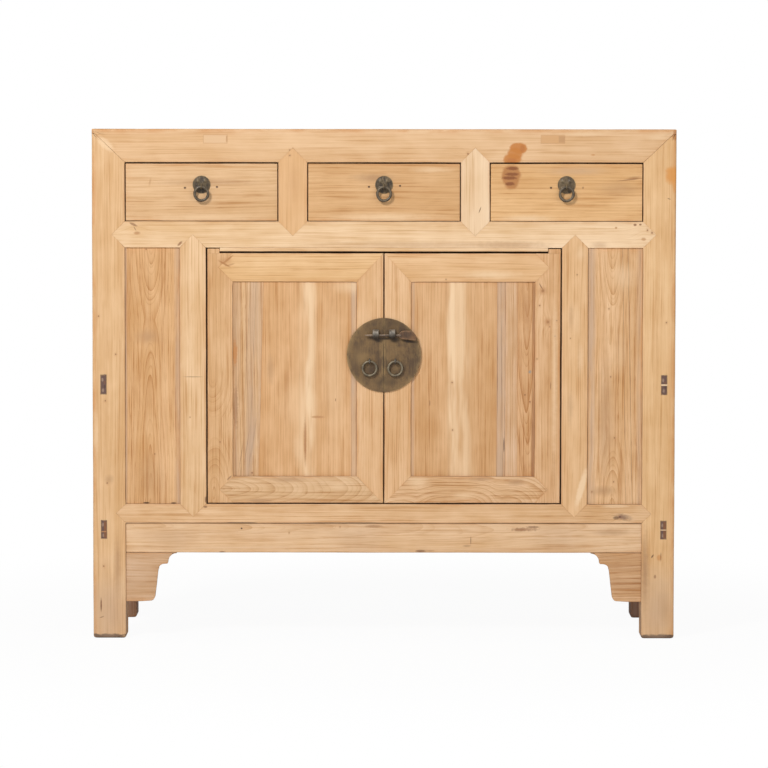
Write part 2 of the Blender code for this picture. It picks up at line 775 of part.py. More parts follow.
# Deck under the drawers, with the guides beside each drawer and a bearer along its back edge
deck_back = BACK_PANEL_FRONT - 0.001
deck_low = DRAWER_FLOOR - DECK_T
deck_long = (
    (-INNER - DECK_HOUSING, RAIL_BACK - PANEL_TONGUE, deck_low),
    (INNER + DECK_HOUSING, deck_back, DRAWER_FLOOR),
)
deck = timber("drawer_deck", *deck_long, INNER_WOOD)
add_box(deck, (-wide, side_front, deck_low), (wide, side_back, DRAWER_FLOOR))
groove(deck_long, [middle_rail] + list(posts.values()))
guide_low = DRAWER_FLOOR - DECK_T / 2
for label, side in SIDES:
    add_box(
        deck,
        (side * (DIVIDER_X - DIVIDER_W / 2), RAIL_BACK + JOINT_GAP, guide_low),
        (side * (DIVIDER_X + DIVIDER_W / 2), deck_back, DRAWER_FLOOR + GUIDE_H),
    )
    add_box(
        deck,
        (side * (INNER + 0.0005), side_front, guide_low),
        (side * (INNER + 0.0005 + GUIDE_T), side_back, DRAWER_FLOOR + GUIDE_H),
    )
bearer_low = deck_low - BEARER_H
add_box(deck, (-span, deck_back - BEARER_D, bearer_low), (span, deck_back, deck_low + DECK_T / 2))
for label, side in SIDES:
    tenon = (
        (side * (span - CLEAR), deck_back - BEARER_D / 2 - TENON_T / 2, bearer_low + TENON_CHEEK),
        (side * (span + TENON_L), deck_back - BEARER_D / 2 + TENON_T / 2, deck_low - TENON_CHEEK),
    )
    add_box(deck, *tenon)
    cut_box(posts["back", side], *tenon)


# Doors
def make_door(label, side):
    """A mitred and pointed frame round a floating panel, hung on two wooden pivots."""

    def front(points):
        return [(side * across, up) for across, up in points]

    rail_start = HINGE_STILE_INNER - JOINT_GAP
    mitre_gap = JOINT_GAP * 1.5
    top_inner = DOOR_TOP - DOOR_TOP_RAIL_H
    bottom_inner = DOOR_BOTTOM + DOOR_BOTTOM_RAIL_H
    stile_outline = [
        (DOOR_INNER, DOOR_BOTTOM + mitre_gap),
        (MEETING_STILE_OUTER, bottom_inner + mitre_gap),
        (MEETING_STILE_OUTER, top_inner - mitre_gap),
        (DOOR_INNER, DOOR_TOP - mitre_gap),
    ]
    meeting = plate(
        f"{label}_door_meeting_stile",
        [front(stile_outline)],
        "XZ",
        DOOR_FACE,
        DOOR_FACE + DOOR_T,
        FRAME_WOOD,
    )
    hinge = timber(
        f"{label}_door_hinge_stile",
        (side * HINGE_STILE_INNER, DOOR_FACE, DOOR_BOTTOM),
        (side * DOOR_OUTER, DOOR_FACE + DOOR_T, DOOR_TOP),
        FRAME_WOOD,
    )
    add_box(
        hinge,
        (side * DOOR_OUTER, DOOR_FACE, DOOR_TOP - CLEAR),
        (side * (PIVOT_X - PIVOT_R - 0.0007), PIVOT_Y, DOOR_HEAD - SHOULDER_GAP),
    )
    for name, low, high in (
        ("lower", DOOR_SILL - PIVOT_L, DOOR_BOTTOM + CLEAR),
        ("upper", DOOR_TOP - CLEAR, DOOR_HEAD + PIVOT_L),
    ):
        pin = rod(
            f"{label}_door_pin_{name}", (side * PIVOT_X, PIVOT_Y, low), high - low, PIVOT_R, (0, 0, 1), 20
        )
        boolean(hinge, pin, "UNION")
    for name, host, low in (
        ("lower", bottom_rail, DOOR_SILL - PIVOT_L - PIVOT_CLEAR),
        ("upper", middle_rail, DOOR_HEAD - CLEAR),
    ):
        bore = rod(
            f"{label}_door_bore_{name}",
            (side * PIVOT_X, PIVOT_Y, low),
            PIVOT_L + PIVOT_CLEAR + CLEAR,
            PIVOT_R + PIVOT_CLEAR,
            (0, 0, 1),
            20,
        )
        boolean(host, bore, "DIFFERENCE")
    pieces = [meeting, hinge]
    for name, outer_z, inner_z in (
        ("top", DOOR_TOP, top_inner),
        ("bottom", DOOR_BOTTOM, bottom_inner),
    ):
        middle = (outer_z + inner_z) / 2
        half = abs(outer_z - inner_z) / 2
        low, high = sorted((outer_z, inner_z))
        pointed = [
            (DOOR_INNER, outer_z),
            (rail_start, outer_z),
            (rail_start + half, middle),
            (rail_start, inner_z),
            (MEETING_STILE_OUTER, inner_z),
        ]
        rail = plate(
            f"{label}_door_{name}_rail",
            [front(pointed)],
            "XZ",
            DOOR_FACE,
            DOOR_FACE + DOOR_T,
            FRAME_WOOD,
        )
        relieve(rail, "X", side * rail_start, side, low, high, DOOR_FIT, DOOR_T)
        add_box(rail, *tenon_box("X", side * rail_start, side, low, high, DOOR_FIT, CLEAR))
        let_in(hinge, "X", side * rail_start, side, low, high, DOOR_FIT)
        inward = 1 if name == "bottom" else -1
        mitre_tenon = (
            (side * (DOOR_INNER + 0.012), DOOR_FIT.tenon_near, outer_z + inward * 0.016),
            (
                side * (MEETING_STILE_OUTER + 0.015),
                DOOR_FIT.tenon_near + DOOR_FIT.tenon_t,
                outer_z + inward * 0.034,
            ),
        )
        add_box(rail, *mitre_tenon)
        cut_box(meeting, *mitre_tenon)
        pieces.append(rail)
    panel_front = DOOR_FACE + DOOR_PANEL_RECESS
    panel = (
        (side * (MEETING_STILE_OUTER - PANEL_TONGUE), panel_front, bottom_inner - PANEL_TONGUE),
        (side * (HINGE_STILE_INNER + PANEL_TONGUE), panel_front + PANEL_T, top_inner + PANEL_TONGUE),
    )
    groove(panel, pieces)
    pieces.append(timber(f"{label}_door_panel", *panel, PANEL_WOOD))
    return pieces


# Lock plate halves, each with a staple for the bolt and an eye for its ring
def make_lock_half(label, side):
    """Half of a round plate, split at the meeting line of the doors."""
    half = rod(
        f"{label}_lock_plate", (0, PLATE_FACE, LOCK_Z), LOCK_T, LOCK_R, (0, 1, 0), 64, BRASS
    )
    turn = half.matrix_world.to_3x3().inverted()
    shape = bmesh.new()
    shape.from_mesh(half.data)
    bmesh.ops.bisect_plane(
        shape,
        geom=shape.verts[:] + shape.edges[:] + shape.faces[:],
        plane_co=turn @ Vector((side * LOCK_SPLIT / 2, 0, 0)),
        plane_no=turn @ Vector((-side, 0, 0)),
        clear_outer=True,
    )
    bmesh.ops.holes_fill(shape, edges=[edge for edge in shape.edges if edge.is_boundary])
    bmesh.ops.recalc_face_normals(shape, faces=shape.faces)
    shape.to_mesh(half.data)
    shape.free()
    inside = PLATE_FACE + LOCK_T / 2
    arch = arc((PLATE_FACE - STAPLE_NECK, STAPLE_Z), (STAPLE_R, STAPLE_R), 90, 270, 12)
    outline = [(inside, STAPLE_Z + STAPLE_R)] + arch + [(inside, STAPLE_Z - STAPLE_R)]
    hole = arc((BOLT_Y, STAPLE_Z), (STAPLE_HOLE, STAPLE_HOLE), 0, 360, 16)[:-1]
    near = side * STAPLE_X - STAPLE_W / 2
    staple = plate(tool_name(half, "staple"), [outline, hole], "YZ", near, near + STAPLE_W)
    boolean(half, staple, "UNION")
    eye(half, door_eye(side))
    return half


def door_eye(side):
    return (side * DOOR_RING_X, PLATE_FACE - EYE_OUT, LOCK_Z - DOOR_RING_DOWN)


doors = {}
for label, side in SIDES:
    pieces = make_door(label, side)
    pieces.append(make_lock_half(label, side))
    door_ring = ring(
        f"{label}_door_ring", door_eye(side), DOOR_RING_R, DOOR_RING_WIRE, DARK_BRASS
    )
    doors[side] = group(f"{label}_door_pivot", (side * PIVOT_X, PIVOT_Y, 0), pieces + [door_ring])

# Bolt: a pin through both staples, with a leaf at its right end to draw it by
bolt = rod(
    "lock_bolt", (-BOLT_LEFT, BOLT_Y, STAPLE_Z), BOLT_LEFT + BOLT_RIGHT, BOLT_R, (1, 0, 0), 16, COPPER
)
leaf_half = LEAF_H / 2
leaf = [(BOLT_RIGHT - 0.004, STAPLE_Z - leaf_half * 0.6)]
leaf += arc(
    (LEAF_END - leaf_half, STAPLE_Z), (leaf_half, leaf_half), -90, 90, 10
)
leaf += [(BOLT_RIGHT - 0.004, STAPLE_Z + leaf_half * 0.6)]
leaf_plate = plate("lock_bolt_leaf", [leaf], "XZ", BOLT_Y - LEAF_T / 2, BOLT_Y + LEAF_T / 2)
boolean(bolt, leaf_plate, "UNION")
bolt.parent = doors[1]
bolt.matrix_parent_inverse = Matrix.Translation(doors[1].location).inverted()


# Drawers
def make_drawer(label, centre):
    """A front that laps dovetailed sides, a box open at the top, and a round pull with its ring."""
    left = centre - DRAWER_OPENING_W / 2 + DRAWER_SIDE_GAP
    right = centre + DRAWER_OPENING_W / 2 - DRAWER_SIDE_GAP
    face = FRONT + DRAWER_RECESS
    front_back = face + DRAWER_FRONT_T
    box_low = DRAWER_FLOOR + 0.0004
    box_high = box_low + DRAWER_BOX_H
    front = timber(
        f"{label}_drawer_front",
        (left, face, DRAWER_FLOOR + DRAWER_BOTTOM_GAP),
        (right, front_back, DRAWER_HEAD - DRAWER_TOP_GAP),
        DRAWER_WOOD,
    )
    box_front = front_back + JOINT_GAP
    box_back = BACK_PANEL_FRONT - DRAWER_BACK_GAP
    box = timber(
        f"{label}_drawer_box", (left, box_front, box_low), (right, box_back, box_high), INNER_WOOD
    )
    in_left = left + DRAWER_SIDE_T
    in_right = right - DRAWER_SIDE_T
    in_back = box_back - DRAWER_SIDE_T
    bottom_low = box_low + DRAWER_RUNNER
    cut_box(
        box,
        (in_left, face, bottom_low + DRAWER_BOTTOM_T),
        (in_right, in_back, box_high + CLEAR),
        0,
    )
    cut_box(box, (in_left, face, box_low - CLEAR), (in_right, in_back, bottom_low), 0)
    for share in (0.27, 0.73):
        middle = box_low + DRAWER_BOX_H * share
        for near, far, outside in ((left, in_left, left - CLEAR), (right, in_right, right + CLEAR)):
            for host, gap, start, operation in (
                (box, 0.0, near, "UNION"),
                (front, JOINT_GAP, outside, "DIFFERENCE"),
            ):
                root = TAIL_ROOT / 2 + gap
                tip = TAIL_TIP / 2 + gap
                outline = [
                    (box_front + CLEAR, middle - root),
                    (box_front - TAIL_L - gap, middle - tip),
                    (box_front - TAIL_L - gap, middle + tip),
                    (box_front + CLEAR, middle + root),
                ]
                end = far + math.copysign(gap, far - near)
                tail = plate(tool_name(host, "tail"), [outline], "YZ", start, end)
                boolean(host, tail, operation)
    pull = make_pull(f"{label}_drawer_plate", centre)
    axis = (centre, PULL_BACK - PULL_DOME - EYE_OUT, PULL_Z - PULL_EYE_DOWN)
    eye(pull, axis)
    hung = ring(f"{label}_drawer_ring", axis, DRAWER_RING_R, DRAWER_RING_WIRE, DARK_BRASS)
    group(f"{label}_drawer_slide", (centre, FRONT, DRAWER_FLOOR), [front, box, pull, hung])


def make_pull(name, centre):
    """A small domed disc, turned from its profile."""
    dome = arc((0, 0), (PULL_R, PULL_DOME - PULL_RIM), 90, 0, 6)
    profile = [(0.0, PULL_DOME)] + [(out, PULL_RIM + up) for out, up in dome[1:]]
    profile += [(PULL_R, 0.0), (0.0, 0.0)]
    mesh = bpy.data.meshes.new(name)
    points = [(out, 0.0, up) for out, up in profile]
    edges = [(i, i + 1) for i in range(len(points) - 1)]
    mesh.from_pydata(points, edges, [])
    turn = Matrix.Rotation(math.pi / 2, 4, "X")
    pull = place(name, mesh, Matrix.Translation((centre, PULL_BACK, PULL_Z)) @ turn, BRASS)
    turned = pull.modifiers.new("turned", "SCREW")
    turned.axis = "Z"
    turned.steps = 28
    turned.render_steps = 28
    turned.use_merge_vertices = True
    turned.merge_threshold = 0.00001
    turned.use_normal_calculate = True
    return pull


pitch = DRAWER_OPENING_W + DIVIDER_W
for label, step in (("left", -1), ("middle", 0), ("right", 1)):
    make_drawer(label, step * pitch)
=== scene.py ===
# %% [markdown]
# # A pale elm cabinet
# The real object is a low Chinese cabinet of stripped elm: three drawers over a pair of doors, in a mitred frame
# on four square posts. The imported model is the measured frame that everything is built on. Loading it first means
# that each board can take its size from the solid that it stands for.

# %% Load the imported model
import math

import bpy
import numpy as np
from mathutils import Matrix, Vector


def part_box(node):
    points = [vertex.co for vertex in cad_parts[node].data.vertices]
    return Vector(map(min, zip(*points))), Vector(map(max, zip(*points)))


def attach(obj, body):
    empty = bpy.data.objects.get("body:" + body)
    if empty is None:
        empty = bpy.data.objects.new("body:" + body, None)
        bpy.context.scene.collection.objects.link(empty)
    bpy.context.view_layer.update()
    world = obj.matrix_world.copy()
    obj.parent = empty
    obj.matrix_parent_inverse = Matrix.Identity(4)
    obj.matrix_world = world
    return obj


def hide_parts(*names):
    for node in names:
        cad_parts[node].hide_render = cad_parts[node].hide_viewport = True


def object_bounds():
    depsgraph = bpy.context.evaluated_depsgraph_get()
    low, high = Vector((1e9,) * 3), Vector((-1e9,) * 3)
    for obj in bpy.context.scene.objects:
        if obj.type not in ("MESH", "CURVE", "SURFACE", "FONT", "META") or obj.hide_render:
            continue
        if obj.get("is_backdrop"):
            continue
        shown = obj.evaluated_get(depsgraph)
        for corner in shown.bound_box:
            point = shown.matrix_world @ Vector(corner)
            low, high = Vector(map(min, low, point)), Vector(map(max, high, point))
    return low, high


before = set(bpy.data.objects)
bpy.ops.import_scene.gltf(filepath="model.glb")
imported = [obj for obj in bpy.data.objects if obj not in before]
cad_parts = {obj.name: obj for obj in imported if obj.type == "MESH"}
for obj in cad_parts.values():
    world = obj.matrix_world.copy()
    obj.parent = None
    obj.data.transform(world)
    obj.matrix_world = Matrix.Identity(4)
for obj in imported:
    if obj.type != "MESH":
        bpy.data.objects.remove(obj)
cad_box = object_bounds()
print("nodes", len(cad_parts), "box", np.round(cad_box, 4).tolist())

# %% [markdown]
# ## Camera
# The photograph is taken square on, from far away, with a long lens at the height of the top. The numbers come
# from fitting a pinhole camera to the corners of the cabinet, so the render lies over the photograph.

# %% Camera
FOCAL_PIXELS, PICTURE_PIXELS = 3833.95, 768
LOOK_DOWN, ROLL = 3.8036, 0.0649
CAMERA_AT = (0.0003, -7.4004, 0.9635)
scene = bpy.context.scene


def add(name, data):
    """A new object in the scene."""
    made = bpy.data.objects.new(name, data)
    scene.collection.objects.link(made)
    return made


camera_data = bpy.data.cameras.new("camera")
camera_data.sensor_width = 36.0
camera_data.lens = camera_data.sensor_width * FOCAL_PIXELS / PICTURE_PIXELS
aim = Matrix.Rotation(math.radians(90 - LOOK_DOWN), 4, "X") @ Matrix.Rotation(math.radians(ROLL), 4, "Z")
scene.camera = add("camera", camera_data)
scene.camera.matrix_world = Matrix.Translation(CAMERA_AT) @ aim
scene.view_settings.view_transform = "Standard"
print("lens", round(camera_data.lens, 1), "mm")

# %% [markdown]
# ## Wiring a finish
# A finish is a node tree, and a tree of forty nodes is hard to read when every node takes three lines. This class
# adds one node per call and hands back its output, so that a finish reads like a recipe. Colours are written as
# the eye meets them, in 0 to 255, and turned into the linear values that shaders use.


# %% Helpers for node trees
def colour(red, green, blue):
    """Linear RGBA of an sRGB colour: ((c + 0.055) / 1.055) to the power 2.4, or c / 12.92 when dark."""
    c = np.array([red, green, blue]) / 255
    linear = np.where(c > 0.04045, ((c + 0.055) / 1.055) ** 2.4, c / 12.92)
    return (*linear.tolist(), 1.0)


ANY_DEPTH = 1000.0


class Finish:
    """A material, or the world, while it is being wired: each method adds a node and returns its output."""

    def __init__(self, name, kind=bpy.data.materials):
        self.made = kind.new(name)
        self.made.use_nodes = True
        self.tree = self.made.node_tree
        self.output = next(node for node in self.tree.nodes if "Output" in node.bl_idname)
        self.shader = self.output.inputs["Surface"].links[0].from_node

    def feed(self, sockets, values):
        for key, value in values.items():
            if isinstance(value, bpy.types.NodeSocket):
                self.tree.links.new(value, sockets[key])
            else:
                sockets[key].default_value = value

    def node(self, kind, inputs=None, out=0, **settings):
        made = self.tree.nodes.new("ShaderNode" + kind)
        for key, value in settings.items():
            setattr(made, key, value)
        self.feed(made.inputs, inputs or {})
        return made.outputs if out is None else made.outputs[out]

    def number(self, operation, a, b=0.0):
        return self.node("Math", {0: a, 1: b}, operation=operation)

    def times(self, a, b):
        return self.number("MULTIPLY", a, b)

    def plus(self, a, b):
        return self.number("ADD", a, b)

    def vector(self, operation, a, b=(0.0, 0.0, 0.0)):
        out = "Value" if operation in ("LENGTH", "DOT_PRODUCT") else "Vector"
        return self.node("VectorMath", {0: a, 1: b}, out, operation=operation)

    def total(self, *parts):
        """Sum of weight times (value - 0.5), so that noises add up round zero."""
        first, *others = (self.times(self.number("SUBTRACT", value, 0.5), weight) for value, weight in parts)
        for term in others:
            first = self.plus(first, term)
        return first

    def place(self):
        return self.node("TexCoord", out="Object")

    def spread(self, place, at, size, turn=0.0):
        """Coordinates round a spot of the front: 0 in its middle and 1 at its rim, at any depth behind it."""
        inputs = {"Vector": place, "Location": (at[0], 0.0, at[1]), "Rotation": (0.0, math.radians(turn), 0.0)}
        return self.node("Mapping", {**inputs, "Scale": (size[0], ANY_DEPTH, size[1])}, vector_type="TEXTURE")

    def split(self, vector):
        return self.node("SeparateXYZ", {0: vector}, None)

    def attribute(self, name):
        return self.node("Attribute", out="Vector", attribute_name=name)

    def noise(self, where, stretch, detail=2.0, rough=0.6, out="Fac"):
        placed = self.vector("MULTIPLY", where, stretch)
        return self.node("TexNoise", {"Vector": placed, "Scale": 1.0, "Detail": detail, "Roughness": rough}, out)

    def line_noise(self, where, scale, detail, rough):
        inputs = {"W": where, "Scale": scale, "Detail": detail, "Roughness": rough}
        return self.node("TexNoise", inputs, "Fac", noise_dimensions="1D")

    def step(self, value, start, stop, low=0.0, high=1.0):
        inputs = {"Value": value, "From Min": start, "From Max": stop, "To Min": low, "To Max": high}
        return self.node("MapRange", inputs, interpolation_type="SMOOTHSTEP")

    def blend(self, amount, a, b, mode="MIX"):
        return self.node("Mix", {0: amount, 6: a, 7: b}, 2, data_type="RGBA", blend_type=mode)

    def bump(self, height, strength, distance):
        return self.node("Bump", {"Height": height, "Strength": strength, "Distance": distance})

    def end(self, **sockets):
        self.feed(self.shader.inputs, {key.replace("_", " "): value for key, value in sockets.items()})
        return self.made

    def surface(self, shader):
        """Ends with another shader in place of the plain one."""
        self.tree.links.new(shader, self.output.inputs["Surface"])
        self.tree.nodes.remove(self.shader)
        return self.made


# %% [markdown]
# ## Floor and light
# The cabinet was photographed on white, under a soft lamp at the upper left and a weaker one at the right. The
# floor is white paper that still takes the cabinet's shadow. The world is white where the camera or a reflection
# sees it and weaker where it only lights, so that the colours of the wood come out as they are written.

# %% Floor
WHITE, PAPER = (1.0, 1.0, 1.0, 1.0), (0.9, 0.9, 0.9, 1.0)
FLOOR_HALF = 9.0


def paper():
    """White for the camera, but near the cabinet a part of the brightness is left to the lamps, so shadow shows."""
    made = Finish("white_paper")
    away = made.step(made.vector("LENGTH", made.place()), 0.6, 1.5, 0.95, 1.0)
    seen = made.times(made.node("LightPath", out="Is Camera Ray"), away)
    lit = made.node("BsdfDiffuse", {"Color": PAPER})
    glow = made.node("Emission", {"Color": WHITE, "Strength": 1.0})
    return made.surface(made.node("MixShader", {0: seen, 1: lit, 2: glow}))


corners = FLOOR_HALF * np.array([(-1, -1, 0), (1, -1, 0), (1, 1, 0), (-1, 1, 0)])
floor_mesh = bpy.data.meshes.new("floor")
floor_mesh.from_pydata(corners, [], [(0, 1, 2, 3)])
floor_mesh.materials.append(paper())
add("floor", floor_mesh)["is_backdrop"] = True
print("floor", 2 * FLOOR_HALF, "m square")

# %% Light
LAMP_AIM = Vector((0.0, 0.0, 0.45))
LAMPS = {"upper_left_lamp": ((-1.9, -3.5, 3.3), 0.8, 124.0), "right_lamp": ((2.6, -3.4, 1.9), 2.4, 27.0)}
ROOM_LIGHT = {"Color": (1.0, 0.99, 0.97, 1.0), "Strength": 0.335}

for name, (place, size, power) in LAMPS.items():
    lamp = bpy.data.lights.new(name, "AREA")
    lamp.size, lamp.energy = size, power
    holder = add(name, lamp)
    holder.location = place
    holder.rotation_euler = (LAMP_AIM - Vector(place)).to_track_quat("-Z", "Y").to_euler()
sky = Finish("studio", bpy.data.worlds)
rays = sky.node("LightPath", out=None)
seen = rays["Is Camera Ray"]
for ray in ("Is Glossy Ray", "Is Transmission Ray"):
    seen = sky.number("MAXIMUM", seen, rays[ray])
white = sky.node("Background", {"Color": WHITE, "Strength": 1.0})
scene.world = sky.surface(sky.node("MixShader", {0: seen, 1: sky.node("Background", ROOM_LIGHT), 2: white}))
print("two lamps and a white room")

# %% [markdown]
# ## Elm
# Elm has wide growth rings with a dark porous line at the start of each year. A board is a flat cut through the
# log, so the finish works out how far each point lies from the log's heart: rings round a distant heart show as
# straight lines, and rings round a near, tilted heart show as nested arches. The boards carry what the finish
# needs as attributes: "grain" (along, across, deep), "log" (aside of the heart, below it), "tint" (the board's own
# colour, with painted shade near the floor on the back posts), "figure" (how strong lines, mottling and greying
# are) and "wear" (edge wear, end grain, and darkening in the crevices that is dirt and painted shade).

# %% Growth rings
RING = 0.0060


def growth_rings(made, grain, place, swirls):
    """How dark the year's line is, 0 to 1, and a slow value that differs from ring to ring.

    Radius = length of (aside, below), moved a little by two noises. A swirl adds a soft bump to the radius, so
    that the rings close round it as they do round a knot.
    """

    def sway(stretch, detail, reach):
        drift = made.noise(grain, stretch, detail, 0.5, "Color")
        return made.vector("MULTIPLY", made.vector("SUBTRACT", drift, (0.5, 0.5, 0.5)), (reach, reach, 0.0))

    moved = made.vector("ADD", sway((1.5, 6.5, 6.5), 2.0, 0.030), sway((11.0, 34.0, 34.0), 1.0, 0.0042))
    radius = made.vector("LENGTH", made.vector("ADD", made.attribute("log"), moved))
    for at, size, amount in swirls:
        local = made.spread(place, at, size)
        bell = made.number("EXPONENT", made.times(made.vector("DOT_PRODUCT", local, local), -1.0))
        radius = made.plus(radius, made.times(bell, amount))
    uneven = made.total((made.line_noise(radius, 60.0, 1.0, 0.6), 0.016))
    count = made.number("DIVIDE", made.plus(radius, uneven), RING)
    line, between = (made.number("POWER", made.number("FRACT", c), 5.0) for c in (count, made.times(count, 2.7)))
    return made.number("MAXIMUM", line, made.times(between, 0.5)), made.line_noise(count, 0.45, 2.0, 0.7)


# %% [markdown]
# Stains, knots, cracks, nail holes and the ends of tenons sit in one place of the cabinet, so they are laid on by
# Object coordinates: an ellipse (spot), a soft patch, a rectangle (block), or a streak that runs the whole height.
# They are kept as small tables, in millimetres on the front.

# %% Marks in one place
MM = 0.001
TALL = 1000
# grime is a dark brown: dirt, and on the lock plate painted shadow as well.
SHADES = dict(
    knot=(138, 90, 58), halo=(190, 138, 92), hole=(56, 38, 30), crack=(128, 88, 62), rust=(197, 126, 61),
    deep_rust=(182, 112, 60), lilac=(198, 168, 142), plum=(98, 74, 72), smoke=(178, 136, 98),
    browned=(176, 122, 74), cream=(243, 210, 170), orange=(218, 150, 78), rubbed=(176, 116, 68),
    batten=(222, 174, 122), groove=(178, 126, 82), putty=(160, 148, 134), stain=(180, 122, 72),
    stain_band=(132, 78, 46), grime=(46, 34, 24), olive=(146, 117, 76),
)
SHADES = {name: colour(*shade) for name, shade in SHADES.items()}
USUAL = dict(spot=(0.8, 0, 0.6, 0.4), patch=(0.5, 0, 1, 0.4), block=(0.8, 0, 0.12, 0.08), streak=(0.6, 0, 0.8, 0.8))


def marks(table):
    """Marks from a table. A line is a kind, a shade, and rows parted by semicolons: x, z, half width and half
    height (a streak has none), then strength, turn in degrees, softness and raggedness, as far as they are not
    the usual ones. Knots (a dot in a halo) and nails (a hole in a stain) have "at" for a shade, and rows of x, z
    and radius, with a strength for a knot that is fainter or darker."""
    made = []

    def lay(kind, shade, x, z, wide, high, *looks):
        looks += USUAL[kind][len(looks) :]
        made.append((kind, (x * MM, z * MM), (wide * MM, high * MM), SHADES[shade], *looks))

    for line in table.strip().splitlines():
        kind, shade, rows = line.split(maxsplit=2)
        for x, z, r, *more in ([float(number) for number in row.split()] for row in rows.split(";")):
            if kind == "knots":
                strong = more[0] if more else 0.8
                lay("spot", "halo", x, z, 2.6 * r, 3.4 * r, 0.45 * strong, 0, 0.9)
                lay("spot", "knot", x, z, r, r, strong)
            elif kind == "nails":
                lay("spot", "smoke", x, z, 2.0 * r, 1.8 * r, 0.5, 0, 0.9)
                lay("spot", "hole", x, z, r, 0.85 * r, 0.95, 0, 0.35)
            else:
                lay(kind, shade, x, z, r, *([TALL] if kind == "streak" else []), *more)
    return made


def lay_mark(made, base, place, mark):
    """The base colour with one mark on it: its distance, 0 in the middle and 1 at the rim, is broken by noise."""
    kind, at, size, shade, strength, turn, soft, ragged = mark
    local = made.spread(place, at, size, turn)
    if kind in ("spot", "patch"):
        reach = made.vector("LENGTH", local)
    else:
        sides = made.split(made.vector("ABSOLUTE", local))
        reach = sides[0] if kind == "streak" else made.number("MAXIMUM", sides[0], sides[2])
    fine = 1.3 / min(size)
    stretch = (fine, fine, 0.03 * fine) if kind == "streak" else (0.7 * fine, fine, fine)
    reach = made.plus(reach, made.total((made.noise(place, stretch), ragged)))
    amount = made.step(reach, 1.0, 1.0 - soft, 0.0, strength)
    if kind == "streak":
        fading = made.noise(place, (60.0, 9.0, 8.0), 2.0, 0.55)
        amount = made.times(amount, made.step(fading, 0.32, 0.62, 0.25, 1.0))
    return made.blend(amount, base, shade)


# %% [markdown]
# The colour is laid on in the order in which a finisher sees it: the board's tint with soft mottling, ring lines
# and pores, grey weathered streaks, pin knots, then wear on the edges and darkening in the crevices, which is dirt
# and painted shade, and last the marks. Marks stay near the face of a board, so they do not show on its sides.

# %% The elm finish
DARKER, LIGHTER = (0.855, 0.780, 0.655, 1.0), (1.115, 1.190, 1.320, 1.0)
YEAR_LINE = (0.74, 0.60, 0.44, 1.0)
GREYED, WORN = colour(194, 163, 138), colour(206, 146, 92)
# The crevice colour is dirt, and painted shade in the joints.
DIRT_AND_SHADE, PIN_KNOT = colour(122, 92, 76), colour(104, 68, 46)


def elm(name, table="", swirls=(), rough=0.56):
    """Sanded and lightly waxed elm, with any marks that belong to one place."""
    made = Finish(name)
    place, grain = made.place(), made.attribute("grain")
    line, yearly = growth_rings(made, grain, place, swirls)
    lines, mottled, greyed = made.split(made.attribute("figure"))

    def drawn_out(along, across, detail, coarse):
        return made.noise(grain, (along, across, across), detail, coarse)

    fibre, fleck = drawn_out(7.0, 380.0, 2.0, 0.6), drawn_out(42.0, 1500.0, 1.0, 0.5)
    blotch, cloud = drawn_out(2.6, 13.0, 3.0, 0.55), drawn_out(15.0, 30.0, 2.0, 0.5)
    weather, patchy = drawn_out(0.7, 60.0, 3.0, 0.6), drawn_out(14.0, 30.0, 3.0, 0.6)
    thread = drawn_out(5.0, 310.0, 2.0, 0.55)
    shade = made.total((blotch, 2.0), (cloud, 1.2), (yearly, 0.6), (fibre, 1.2))
    lift = made.step(made.times(shade, mottled), -0.75, 0.75)
    base = made.blend(1.0, made.attribute("tint"), made.blend(lift, LIGHTER, DARKER), "MULTIPLY")
    thick = made.times(made.times(line, lines), made.step(yearly, 0.30, 0.70, 0.35, 1.0))
    thin = made.times(made.step(thread, 0.54, 0.64), made.step(cloud, 0.30, 0.65, 0.4, 1.0))
    thin = made.times(thin, made.step(lines, 0.0, 1.2, 0.45, 1.0))
    pores = made.times(made.times(made.step(fleck, 0.55, 0.70), made.plus(line, 0.25)), lines)
    for amount in (thick, thin, pores):
        base = made.blend(amount, base, YEAR_LINE, "MULTIPLY")

    stretched = made.vector("MULTIPLY", grain, (6.0, 22.0, 22.0))
    pin = made.node("TexVoronoi", {"Vector": stretched, "Scale": 1.0}, None)
    rare = made.number("GREATER_THAN", made.split(pin["Color"])[0], 0.80)
    edge, end, crevice = made.split(made.attribute("wear"))
    for amount, strength, laid in (
        (made.step(weather, 0.40, 0.62), greyed, GREYED),
        (made.step(pin["Distance"], 0.13, 0.03, 0.0, 0.35), rare, SHADES["halo"]),
        (made.step(pin["Distance"], 0.036, 0.016, 0.0, 0.7), rare, PIN_KNOT),
        (made.step(patchy, 0.36, 0.68, 0.05, 0.6), edge, WORN),
        # Darkening in the crevices: dirt, and painted shade where boards meet.
        (made.step(patchy, 0.30, 0.62, 0.25, 0.85), crevice, DIRT_AND_SHADE),
        (end, 0.5, SHADES["smoke"]),
    ):
        base = made.blend(made.times(amount, strength), base, laid)
    if table:
        marked = base
        for mark in marks(table):
            marked = lay_mark(made, marked, place, mark)
        base = made.blend(made.step(made.split(grain)[2], 0.018, 0.005), base, marked)

    gloss = made.plus(made.times(line, 0.10), made.step(patchy, 0.3, 0.7, rough, rough + 0.1))
    normal = made.bump(made.total((fibre, 0.5), (line, -0.5), (fleck, -0.4)), 0.20, 0.0006)
    return made.end(Base_Color=base, Roughness=gloss, Normal=normal, Specular_IOR_Level=0.32)


plain_elm = elm("elm_plain")
print("first elm finish", plain_elm.name)

# %% [markdown]
# Each board is described by its wood: a seed, a tint, a figure, and where the log's heart lies. Here are the tints
# and figures that several boards share.

# %% Tints and figures
HONEY, TAN, NUT = (228, 184, 137), (220, 176, 130), (214, 168, 121)
ASH, BROWN = (208, 171, 134), (204, 157, 112)
QUIET, PLAIN, CALM = (0.60, 1.0, 0.0), (0.35, 0.85, 0.02), (0.50, 0.75, 0.0)
LIVELY, WEATHERED = (1.20, 1.0, 0.05), (0.80, 1.0, 0.7)


